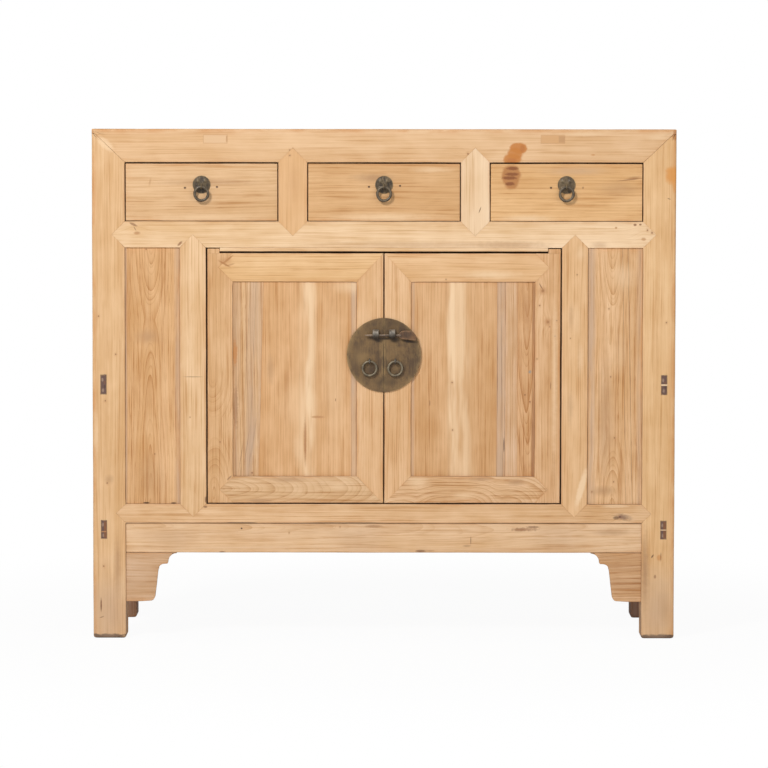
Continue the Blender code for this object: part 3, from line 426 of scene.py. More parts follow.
def wood(seed, tint, figure=QUIET, log=(0.3, 0.05), **more):
    """What a board is made of. log gives the heart's place across, its depth, and its tilt and bow along it. Knees
    (where the log bends), a foot colour of painted shade and the edges' rounding and wear can be added."""
    return dict(seed=seed, tint=tint, figure=figure, log=log, **more)


# %% [markdown]
# ## A board between two edges
# Nearly every piece of the cabinet is a board with two long edges, and what makes it a rail, a stile or a post is
# how those edges run: straight, or in to a 45 degree point, or out into the notch that takes another board's
# point. A modeller could cut each joint with Booleans. Here a board is one surface instead: a rounded section
# that is carried along the board, and that stretches to reach from the low edge to the high edge.

# %% The section of a board
quarter = np.radians([0.0, 30.0, 60.0, 90.0])
# Columns: edge (0 low, 1 high), radii in from the edge, metres in from the edge, back (0 face, 1 back), radii
# deep, edge wear, crevice dirt and painted shade
low_half = [(0, 0, 0, 1, 1.8, 0, 0.5), (0, 0, 0, 0, 1.8, 0.3, 1.0)]
low_half += [(0, 1 - math.cos(t), 0, 0, 1 - math.sin(t), 1.0, 0.7 * math.cos(t)) for t in quarter]
low_half += [(0, 1.4, 0, 0, 0, 0.8, 0), (0, 1.4, 0.003, 0, 0, 0.3, 0), (0, 1.4, 0.010, 0, 0, 0, 0)]
high_half = [(1, *row[1:]) for row in reversed(low_half)]
back_half = [(1, 0, 0, 1, 1, 0.3, 0), (1, 1, 0, 1, 0, 0.3, 0), (0.5, 0, 0, 1, 0, 0, 0)]
back_half += [(0, 1, 0, 1, 0, 0.3, 0), (0, 0, 0, 1, 1, 0.3, 0)]
SECTION = np.array([*low_half, (0.5, 0, 0, 0, 0, 0, 0), *high_half, *back_half])
print("points round a section", len(SECTION))

# %% Boards as surfaces
STATION, BROAD = 0.013, 0.05
# The crevice darkening, dirt and painted shade, is weaker on slanted joint edges.
SLANTED, JOINT_ARRIS, JOINT_SOIL_AND_SHADE = 0.2, 0.0003, 0.45
BACK_ARRIS, FREE_ARRIS, PLANED = 0.0008, 0.0005, 0.00018


def slow_wave(s, seed):
    """A hand-planed edge: three sines of unlike length, with phases drawn from the seed."""
    phase = np.random.default_rng(seed).uniform(0, 2 * np.pi, 3)
    length, height = np.array([0.31, 0.13, 0.047]), PLANED * np.array([0.6, 0.3, 0.15])
    return (height * np.sin(2 * np.pi * s[:, None] / length + phase)).sum(axis=1)


def board(
    run, low, high, near, far, arris=0.0012, ends=(0.0005, 0.0005), curved=False, rub=(1, 1), grime=(1, 1), **look
):
    """One closed board: point(s, j) = low(s) + in(j) * (high(s) - low(s)), at depth near to far(s).

    run names the axes: along, across and deep. low, high and far list corners (along, value), joined by straight
    lines. j goes round SECTION. Slanted edges are joints, so they keep a sharper corner than free edges. arris,
    rub and grime give the rounding, the wear, and the crevice darkening (dirt and painted shade) of the low and the
    high edge, ends gives the rounding of the two ends, and look is the wood.
    """
    low, high = np.array(low, float), np.array(high, float)
    start, stop = low[0, 0], low[-1, 0]
    far = np.array(far, float) if np.ndim(far) else np.array([(start, far), (stop, far)])
    curl = 1 - np.sin(quarter)
    evenly = np.linspace(start, stop, int((stop - start) / STATION) + 3)
    corners = (low[:, 0], high[:, 0], far[:, 0], start + ends[0] * curl, stop - ends[1] * curl, evenly)
    s = np.unique(np.clip(np.round(np.concatenate(corners), 6), start, stop))
    edges = np.array([np.interp(s, *low.T), np.interp(s, *high.T)])
    back = np.interp(s, *far.T)
    way = np.sign(high[:, 1].mean() - low[:, 1].mean())
    inward = np.sign(far[:, 1].mean() - near)
    width = np.abs(edges[1] - edges[0])
    slim = np.minimum(width, np.abs(back - near))
    slanted = np.abs(np.gradient(edges, s, axis=1)) > SLANTED
    radius = np.where(slanted & (not curved), JOINT_ARRIS, np.broadcast_to(arris, 2)[:, None])
    radius = np.minimum(radius, 0.3 * slim)
    seed = look.get("seed", 0)
    edges = edges + np.array([slow_wave(s, seed + 1), slow_wave(s, seed + 2)]) * (radius > FREE_ARRIS)
    first = np.clip(1 - (s - start) / max(ends[0], 1e-9), 0, 1)
    last = np.clip(1 - (stop - s) / max(ends[1], 1e-9), 0, 1)
    tuck = ends[0] * (1 - np.sqrt(1 - first**2)) + ends[1] * (1 - np.sqrt(1 - last**2))
    tuck = np.minimum(tuck, 0.45 * slim)[:, None]

    at, radii, metres, behind, deep, wear, crevice = SECTION.T
    upper = at > 0.5
    r = np.where(upper, radius[1][:, None], radius[0][:, None])
    r = np.where(behind > 0.5, np.minimum(r, BACK_ARRIS), r)
    inset = radii * r + metres * np.minimum(1.0, width / BROAD)[:, None] + tuck
    sink = inward * (deep * r + tuck)
    axis = ["xyz".index(letter) for letter in run]
    points = np.zeros((*inset.shape, 3))
    points[..., axis[0]] = s[:, None]
    points[..., axis[1]] = edges[0][:, None] + at * (edges[1] - edges[0])[:, None] + way * np.sign(0.5 - at) * inset
    points[..., axis[2]] = np.where(behind > 0.5, back[:, None] - sink, near + sink)
    # Crevice darkening of each edge: dirt and painted shade.
    soil_and_shade = np.where(slanted, JOINT_SOIL_AND_SHADE, 1.0) * np.reshape(grime, (2, 1))
    rubbed = np.zeros_like(points)
    rubbed[..., 0] = np.maximum(wear * np.where(upper, rub[1], rub[0]), (tuck > 0) * 0.5)
    rubbed[..., 1] = (((first > 0.9) & (ends[0] > 0)) | ((last > 0.9) & (ends[1] > 0)))[:, None]
    rubbed[..., 2] = np.clip(crevice * np.where(upper, soil_and_shade[1][:, None], soil_and_shade[0][:, None]), 0, 1)
    return grown(closed(points), axis, rubbed, near, inward, **look)


def closed(points, ring=False):
    """Points, quads round the grid, and two end faces (none on a ring), turned so that all of them face out."""
    index = np.arange(points[..., 0].size).reshape(points.shape[:2])
    if ring:
        index = np.vstack([index, index[:1]])
    ahead = np.roll(index, -1, axis=1)
    quads = np.stack([index[:-1], ahead[:-1], ahead[1:], index[1:]], axis=-1).reshape(-1, 4)
    flat = points.reshape(-1, 3)
    caps = [] if ring else [index[0][::-1], index[-1]]
    a, b, c, d = (flat[quads[:, k]] - flat.mean(axis=0) for k in range(4))
    if (np.cross(a, b) * c + np.cross(a, c) * d).sum() < 0:
        quads, caps = quads[:, ::-1], [cap[::-1] for cap in caps]
    return dict(points=flat, quads=quads, caps=caps)


# %% [markdown]
# A shell becomes wood when every point knows where it lies in its log. Then shells become an object, which rides
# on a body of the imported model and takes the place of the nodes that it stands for.

# %% Wood and pieces
FOOT_SHADE_HEIGHT = 0.34
SHARP = math.radians(38)
BOARD_SHIFT, SHIFTS = 1.37, 89


def grown(
    shell, axis, rubbed, near, inward, seed=0, tint=HONEY, figure=QUIET, log=(0.3, 0.05), knees=(), foot=None
):
    """The shell with its wood: below(s) = deep + depth + tilt s + bow s s, and beyond each knee it also changes by
    a slope of its own. The seed shifts the grain, so that no two boards look the same. foot is painted shade: a
    darker colour near the floor, which blends into the tint as a smooth step."""
    flat = shell["points"]
    middle = (flat.min(axis=0) + flat.max(axis=0)) / 2
    along, across = (flat[:, k] - middle[k] for k in axis[:2])
    deep = (flat[:, axis[2]] - near) * inward
    aside, depth, tilt, bow = (*log, 0, 0)[:4]
    below = deep + depth + tilt * along + bow * along**2
    for knee, slope in knees:
        below = below + slope * np.maximum(0, np.sign(knee) * (along - knee))
    same = np.ones((len(flat), 1))
    stain = same * colour(*tint)[:3]
    # Painted shade: the colour darkens towards the floor, below the foot height.
    if foot:
        up = np.clip(flat[:, 2:] / FOOT_SHADE_HEIGHT, 0, 1)
        up = up * up * (3 - 2 * up)
        stain = up * stain + (1 - up) * colour(*foot)[:3]
    grain = np.stack([along + 0.5 + BOARD_SHIFT * (seed % SHIFTS), across, deep], -1)
    heart = np.stack([across - aside, below, 0 * deep], -1)
    return dict(shell, grain=grain, log=heart, tint=stain, figure=same * figure, wear=rubbed.reshape(-1, 3))


def piece(name, shells, finish, body, slot, *nodes):
    """One object from one or more closed shells, riding on a body in place of the nodes that it stands for."""
    offsets = np.cumsum([0] + [len(shell["points"]) for shell in shells])
    faces = []
    for shell, offset in zip(shells, offsets):
        faces += (shell["quads"] + offset).tolist() + [(cap + offset).tolist() for cap in shell["caps"]]
    mesh = bpy.data.meshes.new(name)
    mesh.from_pydata(np.concatenate([shell["points"] for shell in shells]), [], faces)
    for key in ("grain", "log", "tint", "figure", "wear"):
        if key in shells[0]:
            values = np.concatenate([shell[key] for shell in shells])
            mesh.attributes.new(key, "FLOAT_VECTOR", "POINT").data.foreach_set("vector", values.ravel())
    mesh.polygons.foreach_set("use_smooth", np.ones(len(mesh.polygons), bool))
    mesh.set_sharp_from_angle(angle=SHARP)
    mesh.materials.append(finish)
    made = add(name, mesh)
    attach(made, body)
    if nodes:
        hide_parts(*nodes)


def fixed(node, shells, finish=plain_elm, slot="elm_frame", name=None):
    """A piece of the carcass, in place of one node."""
    piece(name or f"{node}_board", shells, finish, "carcass", slot, node)


# %% [markdown]
# ## Sizes from the frame
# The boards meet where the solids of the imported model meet, so the main lines of the front are read from the
# boxes of a few nodes. A 45 degree point is drawn once, and serves as a point or as the notch that takes it.

# %% Lines of the front
X, Y, Z = range(3)
SIDES = (("left", -1), ("right", 1))


def span(node, axis):
    """Where the box of a node starts and stops along one axis."""
    low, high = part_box(node)
    return low[axis], high[axis]


def point_in(low, high, edge, way):
    """Corners of a 45 degree point or notch between two stations: out to half the width and back."""
    return [(low, edge), ((low + high) / 2, edge + way * (high - low) / 2), (high, edge)]


def notch_pair(across, edge, way):
    """The same notch on the left and on the right of the middle."""
    low, high = across
    return point_in(-high, -low, edge, way) + point_in(low, high, edge, way)


INNER, OUTER = span("post_front_right", X)
POST = OUTER - INNER
FRONT, BACK = span("post_front_right", Y)[0], span("post_back_right", Y)[1]
HEAD, HEIGHT = span("top_rail_front", Z)
MIDDLE_LOW, MIDDLE_HIGH = span("middle_rail", Z)
SILL_LOW, SILL = span("bottom_rail", Z)
JAMB, DIVIDER = span("door_jamb_right", X), span("drawer_divider_right", X)
RAIL_BACK = span("middle_rail", Y)[1]
LAYER = 0.014
FIT, HAIR, OVERLAP = 0.0003, 0.0002, 0.0006
print("posts", round(POST, 4), "front", round(FRONT, 4), "height", round(HEIGHT, 4))

# %% [markdown]
# ## Posts and top frame
# Each post ends in a mitre on two faces, where it meets the two top rails, so its section shrinks to the outer
# corner. The mitre stops a little below that corner, which is rounded and rubbed orange. The front posts also
# have notches in their inner edge for the points of the middle and bottom rails. Dark ends of tenons show in them.

# %% Finish of the posts
TENON_X, TENON_LOW, TENON_MID, POST_X = 529.3, 206.8, 481.8, 519
SPECK = "2.6 5 .4 0 .6 .9"

post_table = ""
for side in (-1, 1):
    x = side * TENON_X
    for z, high in ((TENON_MID, 20.0), (TENON_LOW, 18.7)):
        post_table += f"""block hole {x} {z} 6.4 {high} .7
block plum {x} {z} 5 {high - 1.2} .85 0 .12 .5
spot lilac {x - 2} {z + 9} {SPECK}
spot hole {x + 2.5} {z - 4} {SPECK}
spot lilac {x - 1} {z - 11} {SPECK}
spot knot {x + 2} {z + 4} {SPECK}
"""
    # The hole-coloured block at the foot of each front post is painted shade on its rounded bottom edge.
    post_table += f"""block knot {x + 2.2} {TENON_LOW} 2.6 16.5 .75 0 .12 .4
block hole {side * POST_X} .5 40 8.8 .95 0 .4 .7
patch lilac {side * POST_X} 50 60 130 .55 0 1 .5
"""
post_table += f"""block cream {TENON_X} {TENON_MID} 6.2 1.6 .85; {TENON_X} {TENON_LOW} 6 1.1 .7
block halo {-TENON_X} {TENON_LOW - 4} 5 1.2 .7
spot orange 542.4 878.5 17.5 22 .85 8 .5 .7; 548 862 7 22 .6
spot rubbed 548.5 952 10 12 .75
spot crack 525 155.6 1.3 11; 536.4 833.1 4.2 1.2 .8 20; -535.3 62.9 1.9 17 .95; -534 40 6 1.2 .7 -20
spot cream -525 933 24 8 .6 40
knots at -506 539 1.8; -526 451 1.8; -523 295 1.8; -538 611 1.8; -530 137 1.8; 533 600 1.8
patch cream -543 390 6 75 .55
patch halo -542 620 5 50 .35
patch smoke -504 140 10 85 .6; 495 130 11 110 .85; -519 302 13 14
spot hole 509 157 2 5 .7 35
spot rust 521.5 154 6 8 .5
spot knot 514 118 3 5 .6
patch smoke 532 60 18 50 .3
"""
post_elm = elm("elm_posts", post_table)

# %% Posts
DROP, TIP = 0.0090, 0.0060
# The back posts' darker foot is painted shade.
PAINTED_FOOT_SHADE = (153, 122, 104)


def post(side, rear, look):
    """A post: its outer edge is straight, its inner edge has the notches, and it shrinks to a mitred tip."""
    outer, inner = side * OUTER, side * INNER
    near, into = (BACK, -1) if rear else (FRONT, 1)
    tip, thin, full = HEIGHT - DROP, near + into * TIP, near + into * POST
    notches = point_in(SILL_LOW, SILL, inner, side) + point_in(MIDDLE_LOW, MIDDLE_HIGH, inner, side)
    low = [(0, outer), (tip, outer)]
    high = [(0, inner), *([] if rear else notches), (HEAD, inner)]
    high += [(tip - FIT, outer - side * TIP), (tip, outer - side * TIP)]
    far = [(0, full), (HEAD, full), (tip - FIT, thin), (tip, thin)]
    rounding = dict(arris=(0.0034, 0.0018), ends=(0.005, 0.0), rub=(1.2, 0.3), grime=(0.0, 0.9))
    return [board("zxy", low, high, near, far, **rounding, **look)]


for label, side, seed, tint in (("left", -1, 11, (226, 184, 136)), ("right", 1, 23, (230, 187, 136))):
    front = post(side, False, wood(seed, tint, PLAIN, (0.21, 0.09, 0.02)))
    fixed(f"post_front_{label}", front, post_elm, name=f"front_post_{label}")
    back = post(side, True, wood(seed + 5, (206, 164, 123), QUIET, (0.18, 0.09, 0.02), foot=PAINTED_FOOT_SHADE))
    fixed(f"post_back_{label}", back, name=f"back_post_{label}")
print("posts made")

# %% [markdown]
# The front top rail shows the ends of the two battens that stiffen the top, one pale and one orange, and a boot
# shaped rusty stain above the right drawer.

# %% Finish of the top rail
BATTEN_Z, BATTEN_H = 944.7, 7.4

batten_low, batten_high = (x / MM for x in span("top_batten_right", X))
x, half = (batten_low + batten_high) / 2, (batten_high - batten_low) / 2
rail_table = ""
for at, shade in ((-x, "cream"), (x, "batten")):
    rail_table += f"""block halo {at} {BATTEN_Z} {half + 1} {BATTEN_H + 1.2} .5 0 .05
block {shade} {at} {BATTEN_Z} {half} {BATTEN_H} .5 0 .06
"""
rail_table += f"""block halo {half - x - 1} {BATTEN_Z} 1.6 {BATTEN_H} .6 0 .4
block smoke {half + x - 6} {BATTEN_Z} 6.6 {BATTEN_H} .45 0 .3
spot rust 252.9 927.8 18.5 12.5 .92 0 .3 .5; 246.3 918 16.5 13 .9 0 .35; 241.6 907.5 20 12.5 .92 0 .3
spot rust 393 915.5 5 1.6 .7
spot deep_rust 260 927 6.5 10 .6; 240 905 13 6 .65
spot cream -523 937 24 8 .6 40
spot rubbed 549 957 7.5 10
spot halo -549 957 4 8 .7
knots at 157.8 917 2.2; -177.3 924 1.8 .6
patch cream 380 954.5 65 8 .6; 515 948 30 10
"""
rail_elm = elm("elm_top_rail", rail_table, [((0.158, 0.917), (0.022, 0.012), 0.010)])

# %% Top rails
TOP_ROUND = 0.0042
TOP_FIGURE = (0.30, 0.70, 0.02)


def top_rail(run, start, stop, near, into, notches, look):
    """A rail between two outer faces: mitred below, rounded at its upper ends, and thin behind the mitres, where
    the next rail meets it."""
    tip, thin, full = HEIGHT - DROP, near + into * TIP, near + into * POST
    low = [(start, tip), (start + TIP, tip), (start + POST, HEAD), *notches]
    low += [(stop - POST, HEAD), (stop - TIP, tip), (stop, tip)]
    arc = TOP_ROUND * (1 - np.stack([np.cos(quarter), np.sin(quarter)], -1))
    high = [(start + a, HEIGHT - b) for a, b in arc] + [(stop - a, HEIGHT - b) for a, b in arc[::-1]]
    far = [(start, thin), (start + TIP, thin), (start + POST, full)]
    far += [(stop - POST, full), (stop - TIP, thin), (stop, thin)]
    rounding = dict(arris=(0.0012, 0.0036), ends=(0.0016, 0.0016), rub=(0.4, 1.3), grime=(0.6, 0.0))
    return [board(run, low, high, near, far, **rounding, **look)]


for node, near, into, notches, seed, finish in (
    ("top_rail_front", FRONT, 1, notch_pair(DIVIDER, HEAD, 1), 31, rail_elm),
    ("top_rail_back", BACK, -1, [], 37, plain_elm),
):
    look = wood(seed, (228, 187, 142), TOP_FIGURE, (-0.16, 0.05, 0.012))
    fixed(node, top_rail("xzy", FIT - OUTER, OUTER - FIT, near, into, notches, look), finish)
for label, side in SIDES:
    look = wood(41 + side, HONEY, TOP_FIGURE, (-0.2, 0.06, 0.01))
    fixed(f"top_rail_{label}", top_rail("yzx", FRONT + 2 * FIT, BACK - 2 * FIT, side * OUTER, -side, [], look))
print("top frame made")

# %% [markdown]
# ## Rails, dividers and jambs
# The rails between the posts end in points, and they carry notches of their own for the dividers above and the
# jambs below. Only the front layer of such a joint is pointed. Behind it the board ends square, which the list of
# depths says: thin along the point, full between the shoulders.

# %% Finishes of the rails
middle_swirls = [((-0.468, 0.776), (0.024, 0.014), 0.010), ((0.49, 0.77), (0.022, 0.016), 0.010)]
middle_elm = elm("elm_rails", """
spot knot -472 784 10 3.2 .7 25; 472.6 784.1 4.2 2.8 .85; 482.6 784.5 3.2 2.4 .85; -384.5 748 8 3 .75 -45
spot halo -465.2 767.9 8 4; 436.8 778.4 3 3; 489 757 6 4 .7
spot crack -469 776 1 6 .7 -30; 180.6 812 1.1 8 .9 20; 133.6 791 6 1.6 .7
knots at 504.7 769.1 2.2; 496 774 1.8
patch cream 90 765 90 12 .4
patch halo -170 862 20 50 .25
knots at -177.3 914 2.2 .6
patch smoke 60 746.5 300 10 .4; 240 746.5 110 10; 405 746 24 10 .4
""", middle_swirls)
low_elm = elm("elm_low_rails", """
knots at 447 231.6 3 .9; -82.6 211.9 1.4; -179.1 200.4 1.4
nails at -269 208.9 1.9
spot crack -305.9 164.1 8 1.8; -337.5 250 5 2.5 .75 0 .6 .9
spot smoke 257.9 206.6 14 5 .6; 157.7 176.1 10 3 .6; 87.7 166.5 12 2 .6
block hole -269 219.9 34 1 .8 0 .5; -80 219.9 81 .9 .7 0 .5
patch lilac -400 190 80 40 .22; -50 190 80 40 .22; 330 190 80 40 .22
spot plum 453 231 25 8 .65 8 .9 1
spot hole 440 229.5 8 4 .55
spot knot 266 207.5 34 4.2 .55 0 .6 1.4
spot crack 283 212 16 2.4 .7 0 .6 .9; 70 166 13 3; -353 250.5 9 6 .6; 165 186 1.2 10 .7
spot smoke -19 213 22 4
patch smoke 430 202 50 10 .55
spot cream 440 252 35 4 .6
""", [((0.447, 0.232), (0.02, 0.012), 0.010)])
jamb_elm = elm("elm_jambs", """
spot crack -360.5 496.5 24 .9 .7; -337 264 2.2 8
spot cream 373.5 286 8.5 50 .95 14
patch cream 364 600 12 50 .3
knots at -366 420 1.2; 352 570 1.2; 364 690 1.4
patch smoke 352 440 9 50 .4; 353 610 8 40 .4
patch cream 371 530 9 50; 371 730 13 22
""")


# %% Pointed boards
def pointed(run, start, stop, low, high, look, notches_low=(), notches_high=()):
    """A board with a point at both ends: its edges run in to the middle, half a width beyond each shoulder."""
    reach = (high - low) / 2 - FIT
    mid, first, last = (low + high) / 2, start - reach, stop + reach
    edge_low = [(first, mid - HAIR), (start, low), *notches_low, (stop, low), (last, mid - HAIR)]
    edge_high = [(first, mid + HAIR), (start, high), *notches_high, (stop, high), (last, mid + HAIR)]
    thin = FRONT + LAYER
    far = [(first, thin), (start, thin), (start + HAIR, RAIL_BACK)]
    far += [(stop - HAIR, RAIL_BACK), (stop, thin), (last, thin)]
    return [board(run, edge_low, edge_high, FRONT, far, ends=(0.0, 0.0), **look)]


rounding = dict(rub=(0.2, 0.5), arris=(0.0004, 0.0010), grime=(0.2, 1.0))
look = wood(43, (238, 202, 159), PLAIN, (0.14, 0.05, 0.015), **rounding)
notches = notch_pair(JAMB, MIDDLE_LOW, 1), notch_pair(DIVIDER, MIDDLE_HIGH, -1)
fixed("middle_rail", pointed("xzy", -INNER, INNER, MIDDLE_LOW, MIDDLE_HIGH, look, *notches), middle_elm)
look = wood(47, (228, 187, 142), QUIET, (0.13, 0.05, 0.01), rub=(0.8, 0.8))
fixed("bottom_rail", pointed("xzy", -INNER, INNER, SILL_LOW, SILL, look, (), notch_pair(JAMB, SILL, -1)), low_elm)
for label, side, divider_tint, jamb_tint in (
    ("left", -1, (228, 183, 134), (232, 193, 148)),
    ("right", 1, (240, 207, 168), (230, 187, 139)),
):
    look = wood(53 + side, divider_tint, (0.2, 0.5, 0.0), (0.12, 0.06, 0.05), rub=(0.5, 0.5))
    upright = pointed("zxy", MIDDLE_HIGH, HEAD, *sorted(side * x for x in DIVIDER), look)
    fixed(f"drawer_divider_{label}", upright, middle_elm, name=f"divider_{label}_board")
    look = wood(59 + side, jamb_tint, CALM, (0.15, 0.07, 0.02), rub=(0.6, 0.6))
    upright = pointed("zxy", SILL, MIDDLE_LOW, *sorted(side * x for x in JAMB), look)
    fixed(f"door_jamb_{label}", upright, jamb_elm, name=f"jamb_{label}_board")
print("rails and uprights made")

# %% [markdown]
# ## Flat boards
# The strip over the doors, the fixed panels, the sides, the back, the top and the apron are plain boards in the
# grooves of the frame. Wide ones are glued from two to five planks, which never match exactly, so each plank
# has its own log and tint. A board cut near the heart shows arches; where the log was bent, arches from both ends
# point to the middle.


# %% Slabs and planks
def slab(node, look, trim=0.0, **rounding):
    """A board over the whole box of a node, seen from the front. trim shortens it at both ends."""
    (left, right), (near, far), (low, high) = (span(node, axis) for axis in (X, Y, Z))
    edges = [[(left + trim, z), (right - trim, z)] for z in (low, high)]
    return [board("xzy", *edges, near, far, **rounding, **look)]


def planks(run, ends, cuts, near, far, woods, arris=0.0006):
    """Flat boards side by side: along between two ends, across between cuts, which may lean (a pair of values)."""
    shells = []
    for low, high, look in zip(cuts[:-1], cuts[1:], woods):
        edges = [list(zip(ends, np.broadcast_to(edge, 2))) for edge in (low, high)]
        shells.append(board(run, *edges, near, far, arris=arris, ends=(0.0006, 0.0006), **look))
    return shells


def plank(node, run, ends, seen, look, housed=0.0):
    """One plank over the box of a node. Its seen face is at the low (0) or high (1) end of its depth, and the
    part of its depth that is housed in another board is left out."""
    across, deep = (span(node, "xyz".index(letter)) for letter in run[1:])
    return planks(run, ends, across, deep[seen], deep[1 - seen] - housed, [look], arris=0.0012)


# %% Strip, fixed panels and apron
panel_elm = elm("elm_panels", """
streak lilac 391.5 500 12 .75 0 1; -388.5 500 8.5 .65 0 1; -486.8 500 3.4 .7 0 1; 482 500 8.5 .45 0 1
streak crack 465 500 1.1 .6 -1.2 .8 1.4; 454 500 1 .5 -1 .8 1.4
patch smoke -445 572 34 22 .55; -440 300 40 70 .3
spot hole -449 257.5 8 2 .85; -397.5 257 7 1.8 .85
knots at 424.4 625.6 1.6; 428.4 497.1 1.6; 436.3 381.5 1.6; 434.8 298.1 1.6; 393.8 279 1.6; -448.3 737 1.6
knots at -433 350 1.6
patch smoke 418 420 25 170; 415 281 32 14 .6
patch cream 452 685 30 40; 447 540 20 55 .3
""", rough=0.60)
PANEL_WOODS = {
    "left": wood(66, (224, 178, 128), LIVELY, (-0.006, 0.0225, 0.073), knees=[(0.11, -0.25)]),
    "right": wood(68, (231, 188, 141), LIVELY, (-0.004, 0.024), knees=[(0.13, -0.17), (-0.12, -0.15)]),
}
strip = slab("door_head_strip", wood(61, (236, 199, 155), PLAIN), arris=(0.0008, 0.0001), grime=(1, 0))
fixed("door_head_strip", strip)
for label, side in SIDES:
    node = f"front_panel_{label}"
    cuts = sorted((side * JAMB[1], side * INNER))
    panel = planks("zxy", (SILL, MIDDLE_LOW), cuts, *span(node, Y), [PANEL_WOODS[label]])
    fixed(node, panel, panel_elm, "elm_panel")
look = wood(71, (232, 194, 152), (0.7, 0.75, 0.1), (0.02, 0.03, 0.035), rub=(0.8, 0.3))
cuts = (span("apron", Z)[0], SILL_LOW - FIT)
fixed("apron", planks("xzy", (-INNER, INNER), cuts, *span("apron", Y), [look], arris=0.0012), low_elm)
print("strip, panels and apron made")

# %% Top and back
TOP_TINTS, BACK_TINTS = (HONEY, TAN, HONEY), (ASH, BROWN, ASH, BROWN, ASH)

cuts = np.linspace(FRONT + POST + FIT, BACK - POST - FIT, len(TOP_TINTS) + 1)
woods = [wood(73 + k, tint, LIVELY, (0.03 - 0.03 * k, 0.05, 0.03)) for k, tint in enumerate(TOP_TINTS)]
top = planks("xyz", (FIT - INNER, INNER - FIT), cuts, HEIGHT, span("top_panel", Z)[0], woods)
fixed("top_panel", top, slot="elm_panel", name="top_panel_boards")
cuts = np.linspace(-INNER, INNER, len(BACK_TINTS) + 1)
woods = [wood(79 + k, tint, WEATHERED, (0.02 * k - 0.04, 0.04, 0.05)) for k, tint in enumerate(BACK_TINTS)]
back = planks("zxy", (SILL, HEAD), cuts, *span("back_panel", Y)[::-1], woods)
fixed("back_panel", back, slot="elm_panel", name="back_panel_boards")
look = wood(83, ASH, QUIET, (0.1, 0.05, 0.02))
fixed("back_rail_lower", plank("back_rail_lower", "xzy", (-INNER, INNER), 1, look), name="back_rail_board")
print("top and back made")

# %% Sides and battens
SIDE_ENDS = (FRONT + POST, BACK - POST)
SIDE_CUT, HOUSED = -0.012, 0.008

for label, side in SIDES:
    outside = int(side > 0)
    rail, panel = f"side_rail_lower_{label}", f"side_panel_{label}"
    batten, top_batten = f"side_batten_{label}", f"top_batten_{label}"
    look = wood(89 + side, TAN, QUIET, (0.1, 0.05, 0.02))
    fixed(rail, plank(rail, "yzx", SIDE_ENDS, outside, look), name=f"side_rail_{label}_board")
    woods = [wood(97 + side, NUT, LIVELY, (0.01, 0.05, 0, -0.3))]
    woods.append(wood(101 + side, TAN, LIVELY, (-0.02, 0.05, -0.04)))
    faces = span(panel, X)[::-side]
    cuts = (SIDE_ENDS[0], SIDE_CUT, SIDE_ENDS[1])
    boards = planks("zyx", (span(rail, Z)[1], HEAD), cuts, *faces, woods)
    fixed(panel, boards, slot="elm_panel", name=f"{panel}_boards")
    bar = plank(batten, "yzx", SIDE_ENDS, outside, wood(103 + side, TAN))
    fixed(batten, bar, slot="elm_inside", name=f"{batten}_bar")
    bar = plank(top_batten, "yxz", SIDE_ENDS, 0, wood(107 + side, TAN), HOUSED)
    fixed(top_batten, bar, slot="elm_inside", name=f"{top_batten}_bar")
print("sides made")

# %% [markdown]
# ## Shaped brackets
# Under the apron a stepped bracket fills each corner. Its lower edge is the only curved line of the woodwork, so
# the same board is used with a curved low edge, drawn as a few arcs joined at small square steps.

# %% Brackets
BRACKET_SHIFT = (1.8, -0.8)


def bracket_edge():
    """Height of the lower edge against the distance from the post: toe, rise, hump, step and tail."""
    turn = np.radians(np.linspace(0, 90, 8))
    quick, slow = np.sin(turn), 1 - np.cos(turn)
    toe = np.stack([45.0 + 8.5 * quick, 71.6 + 12.0 * slow], -1)
    rise = [(54.3, 90.5), (56.0, 104.0), (57.5, 118.0), (58.8, 129.0)]
    hump = np.stack([60.0 + 11.0 * slow, 132.5 + 9.5 * quick], -1)
    tail = np.stack([77.5 + 16.5 * slow, 144.0 + 18.3 * quick], -1)
    line = np.concatenate([[(0.0, 70.5), (25.0, 70.5)], toe, rise, hump, [(76.2, 142.2)], tail]) + BRACKET_SHIFT
    line[0, 0] = 0.0
    return line * MM


edge = bracket_edge()
top = span("spandrel_right", Z)[1]
for label, side, tint, lines in (("left", -1, (209, 170, 132), 0.5), ("right", 1, (213, 170, 127), 1.2)):
    x = side * (INNER - edge[:, 0])
    low = np.stack([x, edge[:, 1]], -1)[np.argsort(x)]
    high = [(low[0, 0], top), (low[-1, 0], top)]
    look = wood(109 + side, tint, (lines, 1.1, 0.1), (0.07, 0.02, 0.15 * side))
    bracket = board("xzy", low, high, *span("spandrel_right", Y), arris=0.0010, curved=True, **look)
    fixed(f"spandrel_{label}", [bracket], low_elm, name=f"bracket_{label}_board")
print("brackets made")

# %% [markdown]
# ## Doors
# Each door is a frame round a panel of odd planks. Where the doors meet, the corners are plain mitres; on the
# hinge side the rails end in points. The hinge stile also has a thin raised shoulder that fills the end of the
# strip above, and turns clear of it when the door opens. The lines are drawn on the right door and turned over.

# %% Door frames
HINGE_IN, HINGE_OUT = span("right_door_hinge_stile", X)
MEET_IN, MEET_OUT = span("right_door_top_rail", X)[0], span("right_door_meeting_stile", X)[1]
DOOR_FACE, DOOR_BACK = span("right_door_top_rail", Y)
DOOR_LOW, FOOT_HIGH = span("right_door_bottom_rail", Z)
TOP_LOW, DOOR_HIGH = span("right_door_top_rail", Z)
SHOULDER_IN, SHOULDER_TOP, SHOULDER_DEEP = 0.3098, 0.7385, 0.0085
SHOULDER_LOW = DOOR_HIGH - OVERLAP
DOOR_LAYER, MEET_TIP = 0.009, 0.0003


def mirrored(side, corners):
    """Corners (along, x) on the right door, turned over for the left one."""
    return [(along, side * x) for along, x in corners]


